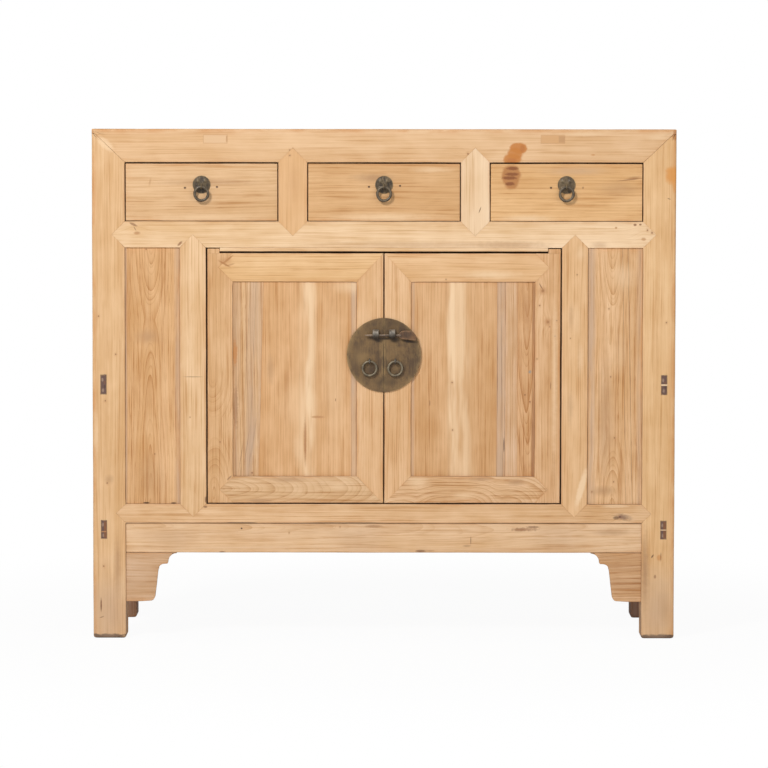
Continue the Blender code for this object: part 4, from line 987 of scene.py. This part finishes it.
def hinge_stile(side, look):
    """The outer stile, with two notches in its inner edge, and the shoulder on top of it."""
    outer = mirrored(side, [(DOOR_LOW, HINGE_OUT), (DOOR_HIGH, HINGE_OUT)])
    notches = point_in(DOOR_LOW, FOOT_HIGH, HINGE_IN, 1) + point_in(TOP_LOW, DOOR_HIGH, HINGE_IN, 1)
    main = board("zxy", outer, mirrored(side, notches), DOOR_FACE, DOOR_BACK, ends=(0.0008, 0.0004), **look)
    low, high = (mirrored(side, [(SHOULDER_LOW, x), (SHOULDER_TOP, x)]) for x in (HINGE_OUT, SHOULDER_IN))
    deep = (DOOR_FACE, DOOR_FACE + SHOULDER_DEEP)
    return [main, board("zxy", low, high, *deep, arris=0.0008, ends=(0.0, 0.0008), **look)]


def meeting_stile(side, look):
    """The inner stile, mitred at both ends down to a narrow tip."""
    low = mirrored(side, [(DOOR_LOW, MEET_IN), (DOOR_HIGH, MEET_IN)])
    inner = [(DOOR_LOW, MEET_IN + MEET_TIP), (FOOT_HIGH + FIT, MEET_OUT)]
    inner += [(TOP_LOW - FIT, MEET_OUT), (DOOR_HIGH, MEET_IN + MEET_TIP)]
    return [board("zxy", low, mirrored(side, inner), DOOR_FACE, DOOR_BACK, ends=(0.0, 0.0), **look)]


def door_rail(side, outer, inner, look):
    """A rail with a mitre at the meeting end and a point at the hinge end; its long edge is the outer one."""
    way = np.sign(outer - inner)
    mid, tip = (outer + inner) / 2, HINGE_IN + abs(outer - inner) / 2 - FIT
    thin = DOOR_FACE + DOOR_LAYER
    long_edge = [(MEET_IN, outer), (HINGE_IN, outer), (tip, mid + way * HAIR)]
    short_edge = [(MEET_IN, outer - way * HAIR), (MEET_OUT, inner), (HINGE_IN, inner), (tip, mid - way * HAIR)]
    far = [(MEET_IN, DOOR_BACK), (HINGE_IN - HAIR, DOOR_BACK), (HINGE_IN, thin), (tip, thin)]
    if side < 0:
        long_edge, short_edge, far = ([(-x, v) for x, v in line[::-1]] for line in (long_edge, short_edge, far))
    return [board("xzy", short_edge, long_edge, DOOR_FACE, far, ends=(0.0, 0.0), **look)]


# %% [markdown]
# The two doors are cut from livelier boards than the frame: arches on the lower rails, ovals on the left hinge
# stile, knots on the right one, and panels of mixed planks with pale and grey streaks.

# %% The left door's wood
left_knees = [(-0.004, 0.42), (-0.075, -0.42), (-0.12, -0.35)]
left_door = dict(
    finish=elm("elm_left_door", """
spot browned -294 718 16 2.6 .85 -40; -301 710 16 2.6 .85 30; -290 708 12 2 .55 -15
patch halo -298 715 18 12
knots at -309.4 373.1 1.6
spot crack -292 305 8 2 .6 -45
patch smoke -180 302 48 8 .65
spot smoke -234 262 32 4 .6
patch cream -82 289 32 14 .55
"""),
    panel_finish=elm("elm_left_door_panel", """
streak smoke -280.5 500 6 .75 0 1
streak lilac -58 500 8.5 .7 0 1; -250 550 19 .55 1.8 1
streak crack -52.2 500 1.2
streak cream -144 500 23 1 .3 1 .4
streak crack -258 550 1 .3 3 .8 1.6; -246 550 1 .3 2.2 .8 1.6
spot crack -258.9 364 1.1 55 .6 8.5 1 .8; -245.9 381 1.1 66 .6 7.5 1 .8; -270 345 1.1 45 .6 9 1 .8
spot crack -252 350 1.1 40 .6 8 1 .8
patch lilac -250 375 12 90 .6 8
patch cream -95 500 32 180 .35; -55 668 60 24 .6
spot groove -148.5 377 3.4 62 .95 0 .7 .3
spot halo -124.9 420.5 16 3 .9
spot rust -281 541.6 6 30 .6 0 .6 .9
spot knot -280 440 6 50 .4 0 .6 .9; -91 453 .9 4 .9
knots at -249 314.3 2.2
patch smoke -214 510 11 38
patch cream -164 360 12 48 .4; -160 440 50 100 .25
""", rough=0.60),
    hinge=wood(113, (223, 180, 133), (0.8, 1.0, 0.0), (-0.014, 0.004), knees=left_knees),
    meeting=wood(127, (229, 186, 140), CALM, (0.2, 0.05, 0.02)),
    top=wood(131, (233, 191, 140), CALM, (0.09, 0.05, 0.05)),
    foot=wood(137, (223, 185, 142), (1.0, 0.8, 0.0), (0.0, 0.035, 0.20)),
    cuts=(HINGE_IN, (0.2365, 0.2270), MEET_OUT + 0.0095, MEET_OUT),
    planks=(
        wood(139, (226, 186, 141), (1.9, 1.0, 0.4), (-0.09, 0.01, 0.06, 0.2)),
        wood(149, (220, 173, 124), (0.55, 1.1, 0.0), (0.35, 0.05, 0.03)),
        wood(151, (226, 186, 145), (0.8, 1.0, 0.35), (0.2, 0.05)),
    ),
)

# %% The right door's wood
right_swirls = [((0.2998, 0.6595), (0.012, 0.02), 0.008), ((0.3094, 0.6009), (0.012, 0.02), 0.008)]
right_knees = [(0.06, -0.8), (-0.09, -0.8)]
right_door = dict(
    finish=elm("elm_right_door", """
knots at 299.8 659.5 3.6; 309.4 600.9 3.4; 289 531 1.4; 293.6 631.8 1.8; 323.1 574 2.2; 313 591.7 1.4
knots at 326 603.5 1.8
patch halo 299.8 659.5 13 11 .55; 309.4 600.9 13 11 .55
spot crack 296 668 1.2 9 .8 -30; 315 480 1.2 10 .6
patch cream 200 690 85 12 .75; 322.5 490 8 250 .65; 63 298 32 16 .65; 151 272 32 9 .55
knots at 117 681 1.4
patch smoke 251 297 26 9 .65; 183 303 32 6 .65
""", right_swirls),
    panel_finish=elm("elm_right_door_panel", """
streak lilac 54.5 500 5.5 .6 0 1
streak cream 127.5 500 15 1 -.6 1 .4; 147 500 32 .7 -.6 1; 133 500 3.5 .5 -.6
streak lilac 220 500 11.5 .75 0 1
streak crack 214.5 500 1 .6 .3 .8 1.6; 222.5 500 1 .6 -.5 .8 1.6; 229 500 1 .6 0 .8 1.6
streak knot 282 500 4
spot putty 275.8 506.4 3.6 4.2 .9
knots at 266.5 462.8 2; 276 449.6 2; 129 486 2 .7; 130 396 1.8 .7
spot hole 227.2 368 1.4 18
patch browned 270 620 10 60
spot crack 87 447 .9 8
""", rough=0.60),
    hinge=wood(157, (224, 180, 134), QUIET, (0.05, 0.03, 0.03)),
    meeting=wood(163, (229, 186, 140), CALM, (0.2, 0.05, 0.02)),
    top=wood(167, (231, 188, 140), CALM, (0.12, 0.05, 0.03)),
    foot=wood(173, (227, 187, 144), (1.6, 0.8, 0.0), (-0.030, 0.004, 0.176, 4.0), knees=right_knees),
    cuts=(HINGE_IN, 0.252, 0.2290, 0.2137, MEET_OUT),
    planks=(
        wood(179, (219, 172, 124), (1.6, 1.2, 0.05), (0.002, 0.012, -0.06)),
        wood(180, (224, 185, 147), (0.7, 1.0, 0.3), (0.2, 0.05)),
        wood(181, (224, 185, 147), (0.7, 1.0, 0.4), (0.2, 0.05)),
        wood(191, (218, 172, 124), (0.55, 1.1, 0.0), (0.35, 0.05, 0.02)),
    ),
)

# %% Doors
for (label, side), door in zip(SIDES, (left_door, right_door)):
    body = f"{label}_door"
    for name, shells, node in (
        (f"{label}_hinge_stile", hinge_stile(side, door["hinge"]), "hinge_stile"),
        (f"{label}_meeting_stile", meeting_stile(side, door["meeting"]), "meeting_stile"),
        (f"{label}_door_top", door_rail(side, DOOR_HIGH, TOP_LOW, door["top"]), "top_rail"),
        (f"{label}_door_foot", door_rail(side, DOOR_LOW, FOOT_HIGH, door["foot"]), "bottom_rail"),
    ):
        piece(f"{name}_board", shells, door["finish"], body, "elm_frame", f"{body}_{node}")
    node = f"{body}_panel"
    cuts = [side * np.asarray(x) for x in door["cuts"]]
    panel = planks("zxy", (FOOT_HIGH, TOP_LOW), cuts, *span(node, Y), door["planks"], arris=0.0003)
    piece(f"{node}_boards", panel, door["panel_finish"], body, "elm_panel", node)
print("doors made")

# %% [markdown]
# ## Drawers
# A drawer front is one board with softened edges. Old nail holes flank the pulls, left by an earlier fitting, and
# the right front has a banded brown stain. The front is a hair narrower than the box behind it, so the ends of the
# dovetails show on its edges.

# %% Drawer fronts
drawer_elm = elm("elm_drawers", """
patch halo -440.5 864 3 12 .6 10
patch smoke -335 863 140 10; -20 872 58 13 .75; 440 852 65 22 .4
patch cream -335 797 140 12; 90 887 56 8 .55; 0 798 150 12 .65; 270 796 75 10 .65
nails at -374.7 852.8 2.3; -314.4 854.7 2.3; -28.4 855.1 2.3; 30 857 2.3; 314.2 853.6 2.3
spot knot 374.4 853.7 2.6 3.2 .55; 462 869 30 1.5 .6 -6
spot stain 238.8 874 20.5 26.5 .9 0 .3 .5
spot stain_band 242 890 14 4.2 .85 0 .5 .6; 240.5 879 16 4.2 .85 0 .5 .6; 236 872 17 4.2 .85 0 .5 .6
spot stain_band 237 861 12 4.2 .85 0 .5 .6
patch knot 470 872 22 5 .5 -8
patch lilac 360 885 90 12 .4
""")
DRAWER_FIGURE = (0.6, 0.65, 0.0)
DRAWER_WOODS = {
    "left": wood(193, (223, 182, 136), DRAWER_FIGURE, (0.07, 0.03, 0.05)),
    "middle": wood(197, (220, 175, 125), DRAWER_FIGURE, (0.09, 0.04, 0.03)),
    "right": wood(199, (228, 182, 128), DRAWER_FIGURE, (-0.08, 0.03, 0.04)),
}
for label, look in DRAWER_WOODS.items():
    node = f"{label}_drawer_front"
    front = slab(node, look, FIT, arris=0.0010, ends=(0.0010, 0.0010))
    piece(f"{label}_drawer_board", front, drawer_elm, f"{label}_drawer", "elm_drawer", node)
print("drawer fronts made")

# %% [markdown]
# ## Wood that is seen only when something opens
# The floor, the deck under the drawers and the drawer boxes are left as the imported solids, which already have
# their joints. They are bare, browner elm, finished from Object coordinates with a grain along the cabinet.


# %% Bare elm
def bare_elm():
    """Unwaxed elm: stretched noise for the grain, two browns, and dust in soft patches."""
    made = Finish("elm_bare")
    place = made.place()
    drift, dust = made.noise(place, (3.0, 26.0, 26.0), 3.0), made.noise(place, (11.0, 11.0, 11.0), 3.0)
    fibre = made.noise(place, (9.0, 420.0, 420.0))
    bands = made.number("POWER", made.number("FRACT", made.times(drift, 14.0)), 3.0)
    base = made.blend(made.step(drift, 0.35, 0.65), colour(*ASH), colour(*BROWN))
    base = made.blend(made.times(bands, 0.4), base, YEAR_LINE, "MULTIPLY")
    base = made.blend(made.step(fibre, 0.5, 0.75, 0.0, 0.5), base, SHADES["halo"])
    base = made.blend(made.step(dust, 0.45, 0.7, 0.0, 0.35), base, SHADES["lilac"])
    gloss = made.step(fibre, 0.3, 0.7, 0.66, 0.8)
    return made.end(Base_Color=base, Roughness=gloss, Normal=made.bump(fibre, 0.2, 0.0005))


inside = bare_elm()
for node in ("floor_board", "drawer_deck", "left_drawer_box", "middle_drawer_box", "right_drawer_box"):
    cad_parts[node].material_slots[0].material = inside
print("inside boards finished")

# %% [markdown]
# ## Metalwork
# The fittings are old brass, gone brown and olive. The round plate was cut from sheet and rubbed with vertical
# strokes; the rings are darker, and rubbed bright where fingers lift them, with a painted highlight on their fronts
# and upper left edges; the bolt is a brown pin with a red brown leaf. One recipe serves all of them, with its own
# colours. Painted shadow darkens the plate under the staples, the bolt and the leaf, and inside the rings.


# %% Metal finishes
def old_metal(name, body, dark, bright, brushed, rough, metallic=0.45, table=""):
    """Patina: two mottled colours, brush strokes along z, and bright metal where the wear attribute says so; on the
    rings, staples, bolt pin and turned parts that is painted highlight as well as rubbing.
    """
    made = Finish(name)
    body, dark, bright = (colour(*shade) for shade in (body, dark, bright))
    place, worn_and_highlit = made.place(), made.split(made.attribute("wear"))[0]
    mottle = made.noise(place, (120.0, 120.0, 75.0), 4.0, 0.65)
    slow = made.noise(place, (28.0, 28.0, 20.0), 2.0, 0.5)
    stroke, speck = made.noise(place, (900.0, 900.0, 28.0)), made.noise(place, (650.0, 650.0, 650.0))
    base = made.blend(made.step(made.total((mottle, 1.0), (slow, 1.2)), -0.22, 0.22), dark, body)
    base = made.blend(made.step(stroke, 0.46, 0.72, 0.0, brushed), base, bright)
    base = made.blend(made.step(speck, 0.56, 0.72, 0.0, 0.5), base, dark)
    base = made.blend(made.times(worn_and_highlit, made.step(mottle, 0.35, 0.60, 0.25, 0.9)), base, bright)
    for mark in marks(table):
        base = lay_mark(made, base, place, mark)
    gloss = made.step(made.total((mottle, 1.0), (stroke, 0.6)), -0.3, 0.3, rough - 0.08, rough + 0.12)
    normal = made.bump(made.total((mottle, 1.0), (stroke, 0.4), (speck, 0.3)), 0.35, 0.0006)
    return made.end(Base_Color=base, Metallic=metallic, Roughness=gloss, Normal=normal)


# In this table, the grime spots on the fourth line are painted shadows under the staples, the bolt and the leaf,
# and the first three spots on the fifth line are painted shade inside the two rings and around the left staple and
# the bolt's left end.
plate_brass = old_metal("brass_plate", (122, 95, 61), (84, 63, 42), (156, 128, 85), 0.38, 0.60, 0.2, """
patch grime 0 590 55 22 .35
patch olive -45 535 22 35
patch grime 3 487 34 13; 58 548 14 32 .4; 25 600 32 13 .4
spot grime -11.5 566 12.5 7 .85 12 .9; 20.5 566 12.5 7 .85 12 .9; 2 569 36 3.4 .8 0 .9; 47 564 19 4.2 .9 8 .8
spot grime -26.5 512 17.5 17.5 .3 0 .8; 22.5 512 17.5 17.5 .3 0 .8; -19 571 17 8 .65 0 .9; -.6 525 1.2 50 .75
patch olive -34 528 22 22 .4; 24 514 14 12 .45
patch grime -10 538 1.6 60 .35; 4 538 1.6 60 .35
""")
ring_brass = old_metal("brass_rings", (88, 76, 60), (48, 40, 32), (164, 150, 124), 0.15, 0.46)
pull_ring_brass = old_metal("brass_pull_rings", (44, 34, 27), (24, 18, 15), (138, 122, 98), 0.1, 0.40, 0.3)
pull_brass = old_metal("brass_pulls", (104, 86, 62), (40, 32, 26), (158, 138, 102), 0.35, 0.48, 0.3)
staple_iron = old_metal("iron_staples", (92, 85, 77), (60, 54, 48), (160, 151, 138), 0.2, 0.48)
leaf_copper = old_metal("copper_leaf", (114, 81, 53), (74, 53, 37), (138, 105, 74), 0.25, 0.58, 0.15)
pin_iron = old_metal("brown_pin", (122, 100, 82), (74, 58, 48), (178, 158, 136), 0.2, 0.46, 0.3)
print("seven metals")

# %% [markdown]
# Four kinds of surface make the fittings: a profile turned about an axis, a wire bent to a ring, a band with a
# hole for the bolt, and sheet, which is a thin board with a curved edge.

# %% Metal surfaces
RING_STEPS, WIRE_STEPS, BAND_STEPS = 72, 16, 64
# The lobes' raised tops are brightened: rubbing and painted highlight.
LOBE_R, LOBE_WIDE, LOBE_WEAR_AND_HIGHLIGHT = 0.0098, 0.0030, 200
TINY = 1e-6


def around(count):
    """Angles of a full turn, in equal steps."""
    return np.linspace(0, 2 * np.pi, count, endpoint=False)


def worn_and_highlit_shell(points, wear, ring=False):
    """A closed grid with the wear attribute, 0 to 1 per point, as the only thing that the metal finish needs. The
    attribute holds rubbing and painted highlight.
    """
    wear = np.broadcast_to(wear, points.shape[:2]).reshape(-1, 1) * (1.0, 0.0, 0.0)
    return dict(closed(points, ring), wear=wear)


def sheet(*edges_and_faces, **rounding):
    """A thin board of metal: its shape and wear are kept, and what belongs to wood is left out."""
    shell = board(*edges_and_faces, curved=True, **rounding)
    return {key: shell[key] for key in ("points", "quads", "caps", "wear")}


def turned(profile, centre, lobes=0.0, count=64):
    """Turned about y: point(k, a) = centre + r (cos a, 0, sin a), and out(k) + lobes * relief to the front."""
    r, out, wear = np.array(profile).T[:, :, None]
    a = around(count)
    petal = np.maximum(0.0, np.cos(4 * a + np.pi)) ** 0.6
    relief = lobes * petal * np.exp(-(((r - LOBE_R) / LOBE_WIDE) ** 2))
    points = np.stack([centre[X] + r * np.cos(a), centre[Y] - out - relief, centre[Z] + r * np.sin(a)], -1)
    # Wear from the profile and the lobes' relief brightens the high points: rubbing and painted highlight.
    return worn_and_highlit_shell(points, np.clip(wear + LOBE_WEAR_AND_HIGHLIGHT * relief, 0, 1))


def bent_ring(centre, radius, wire, flat="xz", flatten=1.0, seed=0):
    """A ring of wire: point(u, v) = centre + (radius + w cos v) round u, and w sin v out of the ring's plane.

    Slow sines of u, with phases drawn from the seed, make the radius and the wire a little uneven.
    """
    u, v = around(RING_STEPS)[:, None], around(WIRE_STEPS)[None, :]
    phase = np.random.default_rng(seed).uniform(0, 2 * np.pi, 3)
    thin = 1 - 0.02 * (1 + np.sin(3 * u + phase[0])) - 0.015 * (1 + np.sin(5 * u + phase[1]))
    reach = radius * (1 - 0.012 * (1 + np.sin(2 * u + phase[2]))) + wire * thin * np.cos(v)
    first, second = ("xyz".index(letter) for letter in flat)
    third = 3 - first - second
    points = np.zeros((RING_STEPS, WIRE_STEPS, 3))
    points[..., first] = centre[first] + reach * np.cos(u)
    points[..., second] = centre[second] + reach * np.sin(u)
    points[..., third] = centre[third] + flatten * wire * thin * np.sin(v)
    # Painted highlight as well as rubbing: the face of the wire towards the front (on an eye, towards the left) is
    # brighter, and so are the outer edge towards the upper left (on an eye, the upper front) and the inner edge
    # opposite.
    return worn_and_highlit_shell(points, np.clip(-0.55 * np.sin(v) + 0.25 * np.cos(v) * np.sin(u - 0.6), 0, 1), ring=True)


def staple(centre, plate_y, radius, width, hole, lift):
    """A band round the bolt: outside it is a half circle in front and square behind, down to the plate.

    The circle's middle lies higher than the bolt by the lift, so reach(u) = lift sin u + root of (R R - lift cos u
    squared).
    """
    u = around(BAND_STEPS)[:, None]
    up, ahead = np.sin(u), np.cos(u)
    level = np.where(up > 0, radius + lift, radius - lift) / np.maximum(np.abs(up), TINY)
    square = np.minimum(level, (plate_y - centre[Y]) / np.maximum(np.abs(ahead), TINY))
    outer = np.where(ahead < 0, lift * up + np.sqrt(radius**2 - (lift * ahead) ** 2), square)
    part = np.array([0, 0, 0.2, 0.8, 1, 1, 1, 0.8, 0.2])
    x = np.array([-0.44, 0.44, 0.5, 0.5, 0.42, 0.0, -0.42, -0.5, -0.5]) * width
    reach = hole + part * (outer - hole)
    points = np.stack([centre[X] + x + 0 * reach, centre[Y] + reach * ahead, centre[Z] + reach * up], -1)
    # The top of the band is painted brighter: a painted highlight from above.
    return worn_and_highlit_shell(points, np.clip(0.2 + 0.7 * up, 0, 1), ring=True)


# %% [markdown]
# ## Lock plate, staples, bolt and door rings
# Each half of the round plate rides on its own door, with one staple and one ring. The bolt lies through both
# staples when the doors are shut, and slides out to the right on the right door.

# %% Eyes and rings
EYE_HOLE, EYE_WIRE = 0.0029, 0.0013
COLLAR = [(0.2, 1.1, 0.8), (1.6, 1.0, 0.6), (2.6, 0.6, 0.3), (3.0, 0.0, 0.0), (3.0, -0.6, 0.0)]


def eye(at, plate_y):
    """A split pin's eye in the upright plane, on a small domed collar."""
    loop = bent_ring(at, EYE_HOLE + EYE_WIRE, EYE_WIRE, "yz", seed=5)
    return [loop, turned(np.array(COLLAR) * (MM, MM, 1), (at[X], plate_y, at[Z]), count=24)]


def ring_of(node):
    """Middle, radius and wire of a hanging ring, and the point where it hangs, from its box."""
    low, high = np.array(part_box(node))
    middle, wire = (low + high) / 2, (high[Y] - low[Y]) / 2
    return middle, (high[X] - low[X]) / 2 - wire, wire, np.array((middle[X], middle[Y], high[Z] - wire))


# %% Lock plate and door rings
PLATE_LOW, PLATE_HIGH = span("right_lock_plate", Z)
LOCK_R, LOCK_Z = (PLATE_HIGH - PLATE_LOW) / 2, (PLATE_HIGH + PLATE_LOW) / 2
PLATE_IN, PLATE_BACK = span("right_lock_plate", X)[0], span("right_lock_plate", Y)[1]
PLATE_THICK = 0.0020
PLATE_FACE = PLATE_BACK - PLATE_THICK
BOLT_Y, BOLT_Z = (sum(span("lock_bolt", axis)) / 2 for axis in (Y, Z))
STAPLE_X, STAPLE_FOOT = 0.0155, PLATE_FACE + OVERLAP
STAPLE = dict(radius=0.0082, width=0.0118, hole=0.0028, lift=0.0030)
RING_ASIDE = {"left": -0.0020, "right": -0.0035}
RING_LARGER = 0.0007


def half_plate(side):
    """Half a disc as a thin board: stations z = centre + R sin t, from the meeting line out to R cos t."""
    t = np.radians(np.linspace(-89.6, 89.6, 90))
    z = LOCK_Z + LOCK_R * np.sin(t)
    low = np.stack([z, np.full_like(z, side * HAIR)], -1)
    high = np.stack([z, side * (PLATE_IN + (LOCK_R - PLATE_IN) * np.cos(t))], -1)
    rounding = dict(arris=(0.0001, 0.0009), ends=(0.0, 0.0), grime=(0.0, 1.0))
    return [sheet("zxy", low, high, PLATE_FACE, PLATE_BACK, **rounding)]


for label, side in SIDES:
    door = f"{label}_door"
    middle, radius, wire, hang = ring_of(f"{door}_ring")
    aside = np.array((RING_ASIDE[label], 0.0, 0.0))
    piece(f"{label}_plate_half", half_plate(side), plate_brass, door, "aged_brass", f"{label}_lock_plate")
    band = staple((side * STAPLE_X, BOLT_Y, BOLT_Z), STAPLE_FOOT, **STAPLE)
    piece(f"{label}_staple", [band], staple_iron, door, "aged_brass")
    piece(f"{label}_ring_eye", eye(hang + aside, PLATE_FACE), staple_iron, door, "aged_brass")
    lower = middle + aside - (0.0, 0.0, RING_LARGER)
    hoop = bent_ring(lower, radius + RING_LARGER - 0.15 * wire, 1.15 * wire, flatten=0.85, seed=7 + side)
    piece(f"{label}_ring", [hoop], ring_brass, f"{door}_pull", "dark_brass", f"{door}_ring")
print("lock plate", round(2 * LOCK_R, 4), "m across")

# %% Bolt
PIN_R, PIN_STEPS = 0.0022, 20
PIN_AT = np.array([0.0, 0.4, 1.2, 2.4, 12.0, 30.0, 45.0, 58.0, 68.2, 68.6]) * MM
PIN_THICK = PIN_R * np.array([0.05, 0.30, 0.42, 0.55, 0.92, 0.97, 0.99, 0.97, 0.95, 0.05])
LEAF_IN = np.array([33.0, 31.0, 28.0, 24.0, 16.0, 9.0, 4.0, 1.2, 0.0]) * MM
LEAF_TOP = np.array([2.0, 5.0, 8.0, 9.0, 9.2, 8.5, 5.0, 1.0, -3.0]) * MM
LEAF_FOOT = np.array([-2.0, -4.5, -6.5, -7.2, -7.8, -8.6, -9.4, -9.4, -8.0]) * MM
LEAF_HALF = 0.0015

bolt_start, bolt_stop = span("lock_bolt", X)
a, r = around(PIN_STEPS), PIN_THICK[:, None]
x = (bolt_start + PIN_AT)[:, None] + 0 * a
rod = np.stack([x, BOLT_Y + r * np.cos(a), BOLT_Z + r * np.sin(a)], -1)
# The top of the pin is painted brighter: a painted highlight.
piece("bolt_pin", [worn_and_highlit_shell(rod, np.clip(np.sin(a), 0.1, 1))], pin_iron, "bolt", "brown_copper")
edges = [np.stack([bolt_stop - LEAF_IN, BOLT_Z + height], -1) for height in (LEAF_FOOT, LEAF_TOP)]
leaf = sheet("xzy", *edges, BOLT_Y - LEAF_HALF, BOLT_Y + LEAF_HALF, arris=0.0008, ends=(0.0004, 0.0004))
piece("bolt_leaf", [leaf], leaf_copper, "bolt", "brown_copper", "lock_bolt")
print("bolt made")

# %% [markdown]
# ## Drawer pulls
# Each pull is a small round plate with four raised lobes, an eye and a ring. The plate is turned from a profile,
# and the lobes are a relief that depends on the angle.

# %% Pulls
LOBES, EYE_FOOT = 0.0018, 0.0024
DOME = [(0.2, 2.7, 0.2), (2.0, 2.7, 0.2), (5.0, 2.4, 0.1), (7.5, 2.1, 0.0), (9.8, 1.8, 0.0)]
DOME += [(12.0, 1.5, 0.0), (13.8, 1.1, 0.0), (14.7, 0.8, 0.0)]
RIM = [(1.0, 1.0, 0.3), (0.3, 0.9, 0.5), (0.0, 0.5, 0.2), (0.0, 0.0, 0.0)]

for label in DRAWER_WOODS:
    node, ring = f"{label}_drawer_plate", f"{label}_drawer_ring"
    middle, radius, wire, hang = ring_of(ring)
    (left, right), back, (low, high) = span(node, X), span(node, Y)[1], span(node, Z)
    rim = [((right - left) / 2 / MM - inset, out, wear) for inset, out, wear in RIM]
    profile = np.array(DOME + rim) * (MM, MM, 1)
    rose = [turned(profile, (middle[X], back, (low + high) / 2), LOBES), *eye(hang, back - EYE_FOOT)]
    piece(f"{label}_pull_plate", rose, pull_brass, f"{label}_drawer", "aged_brass", node)
    hoop = bent_ring(middle, radius - 0.25 * wire, 1.25 * wire, flatten=0.8, seed=len(label))
    piece(f"{label}_pull_ring", [hoop], pull_ring_brass, f"{label}_drawer_pull", "dark_brass", ring)
print("pulls made")

# %% [markdown]
# ## Outer size
# Dressing should not make a piece of furniture larger, so the outer box is measured again and noted beside the box
# of the solids.

# %% Finish
size = {"cad": [list(map(float, c)) for c in cad_box], "visual": [list(map(float, c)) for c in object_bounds()]}
print("size", size)
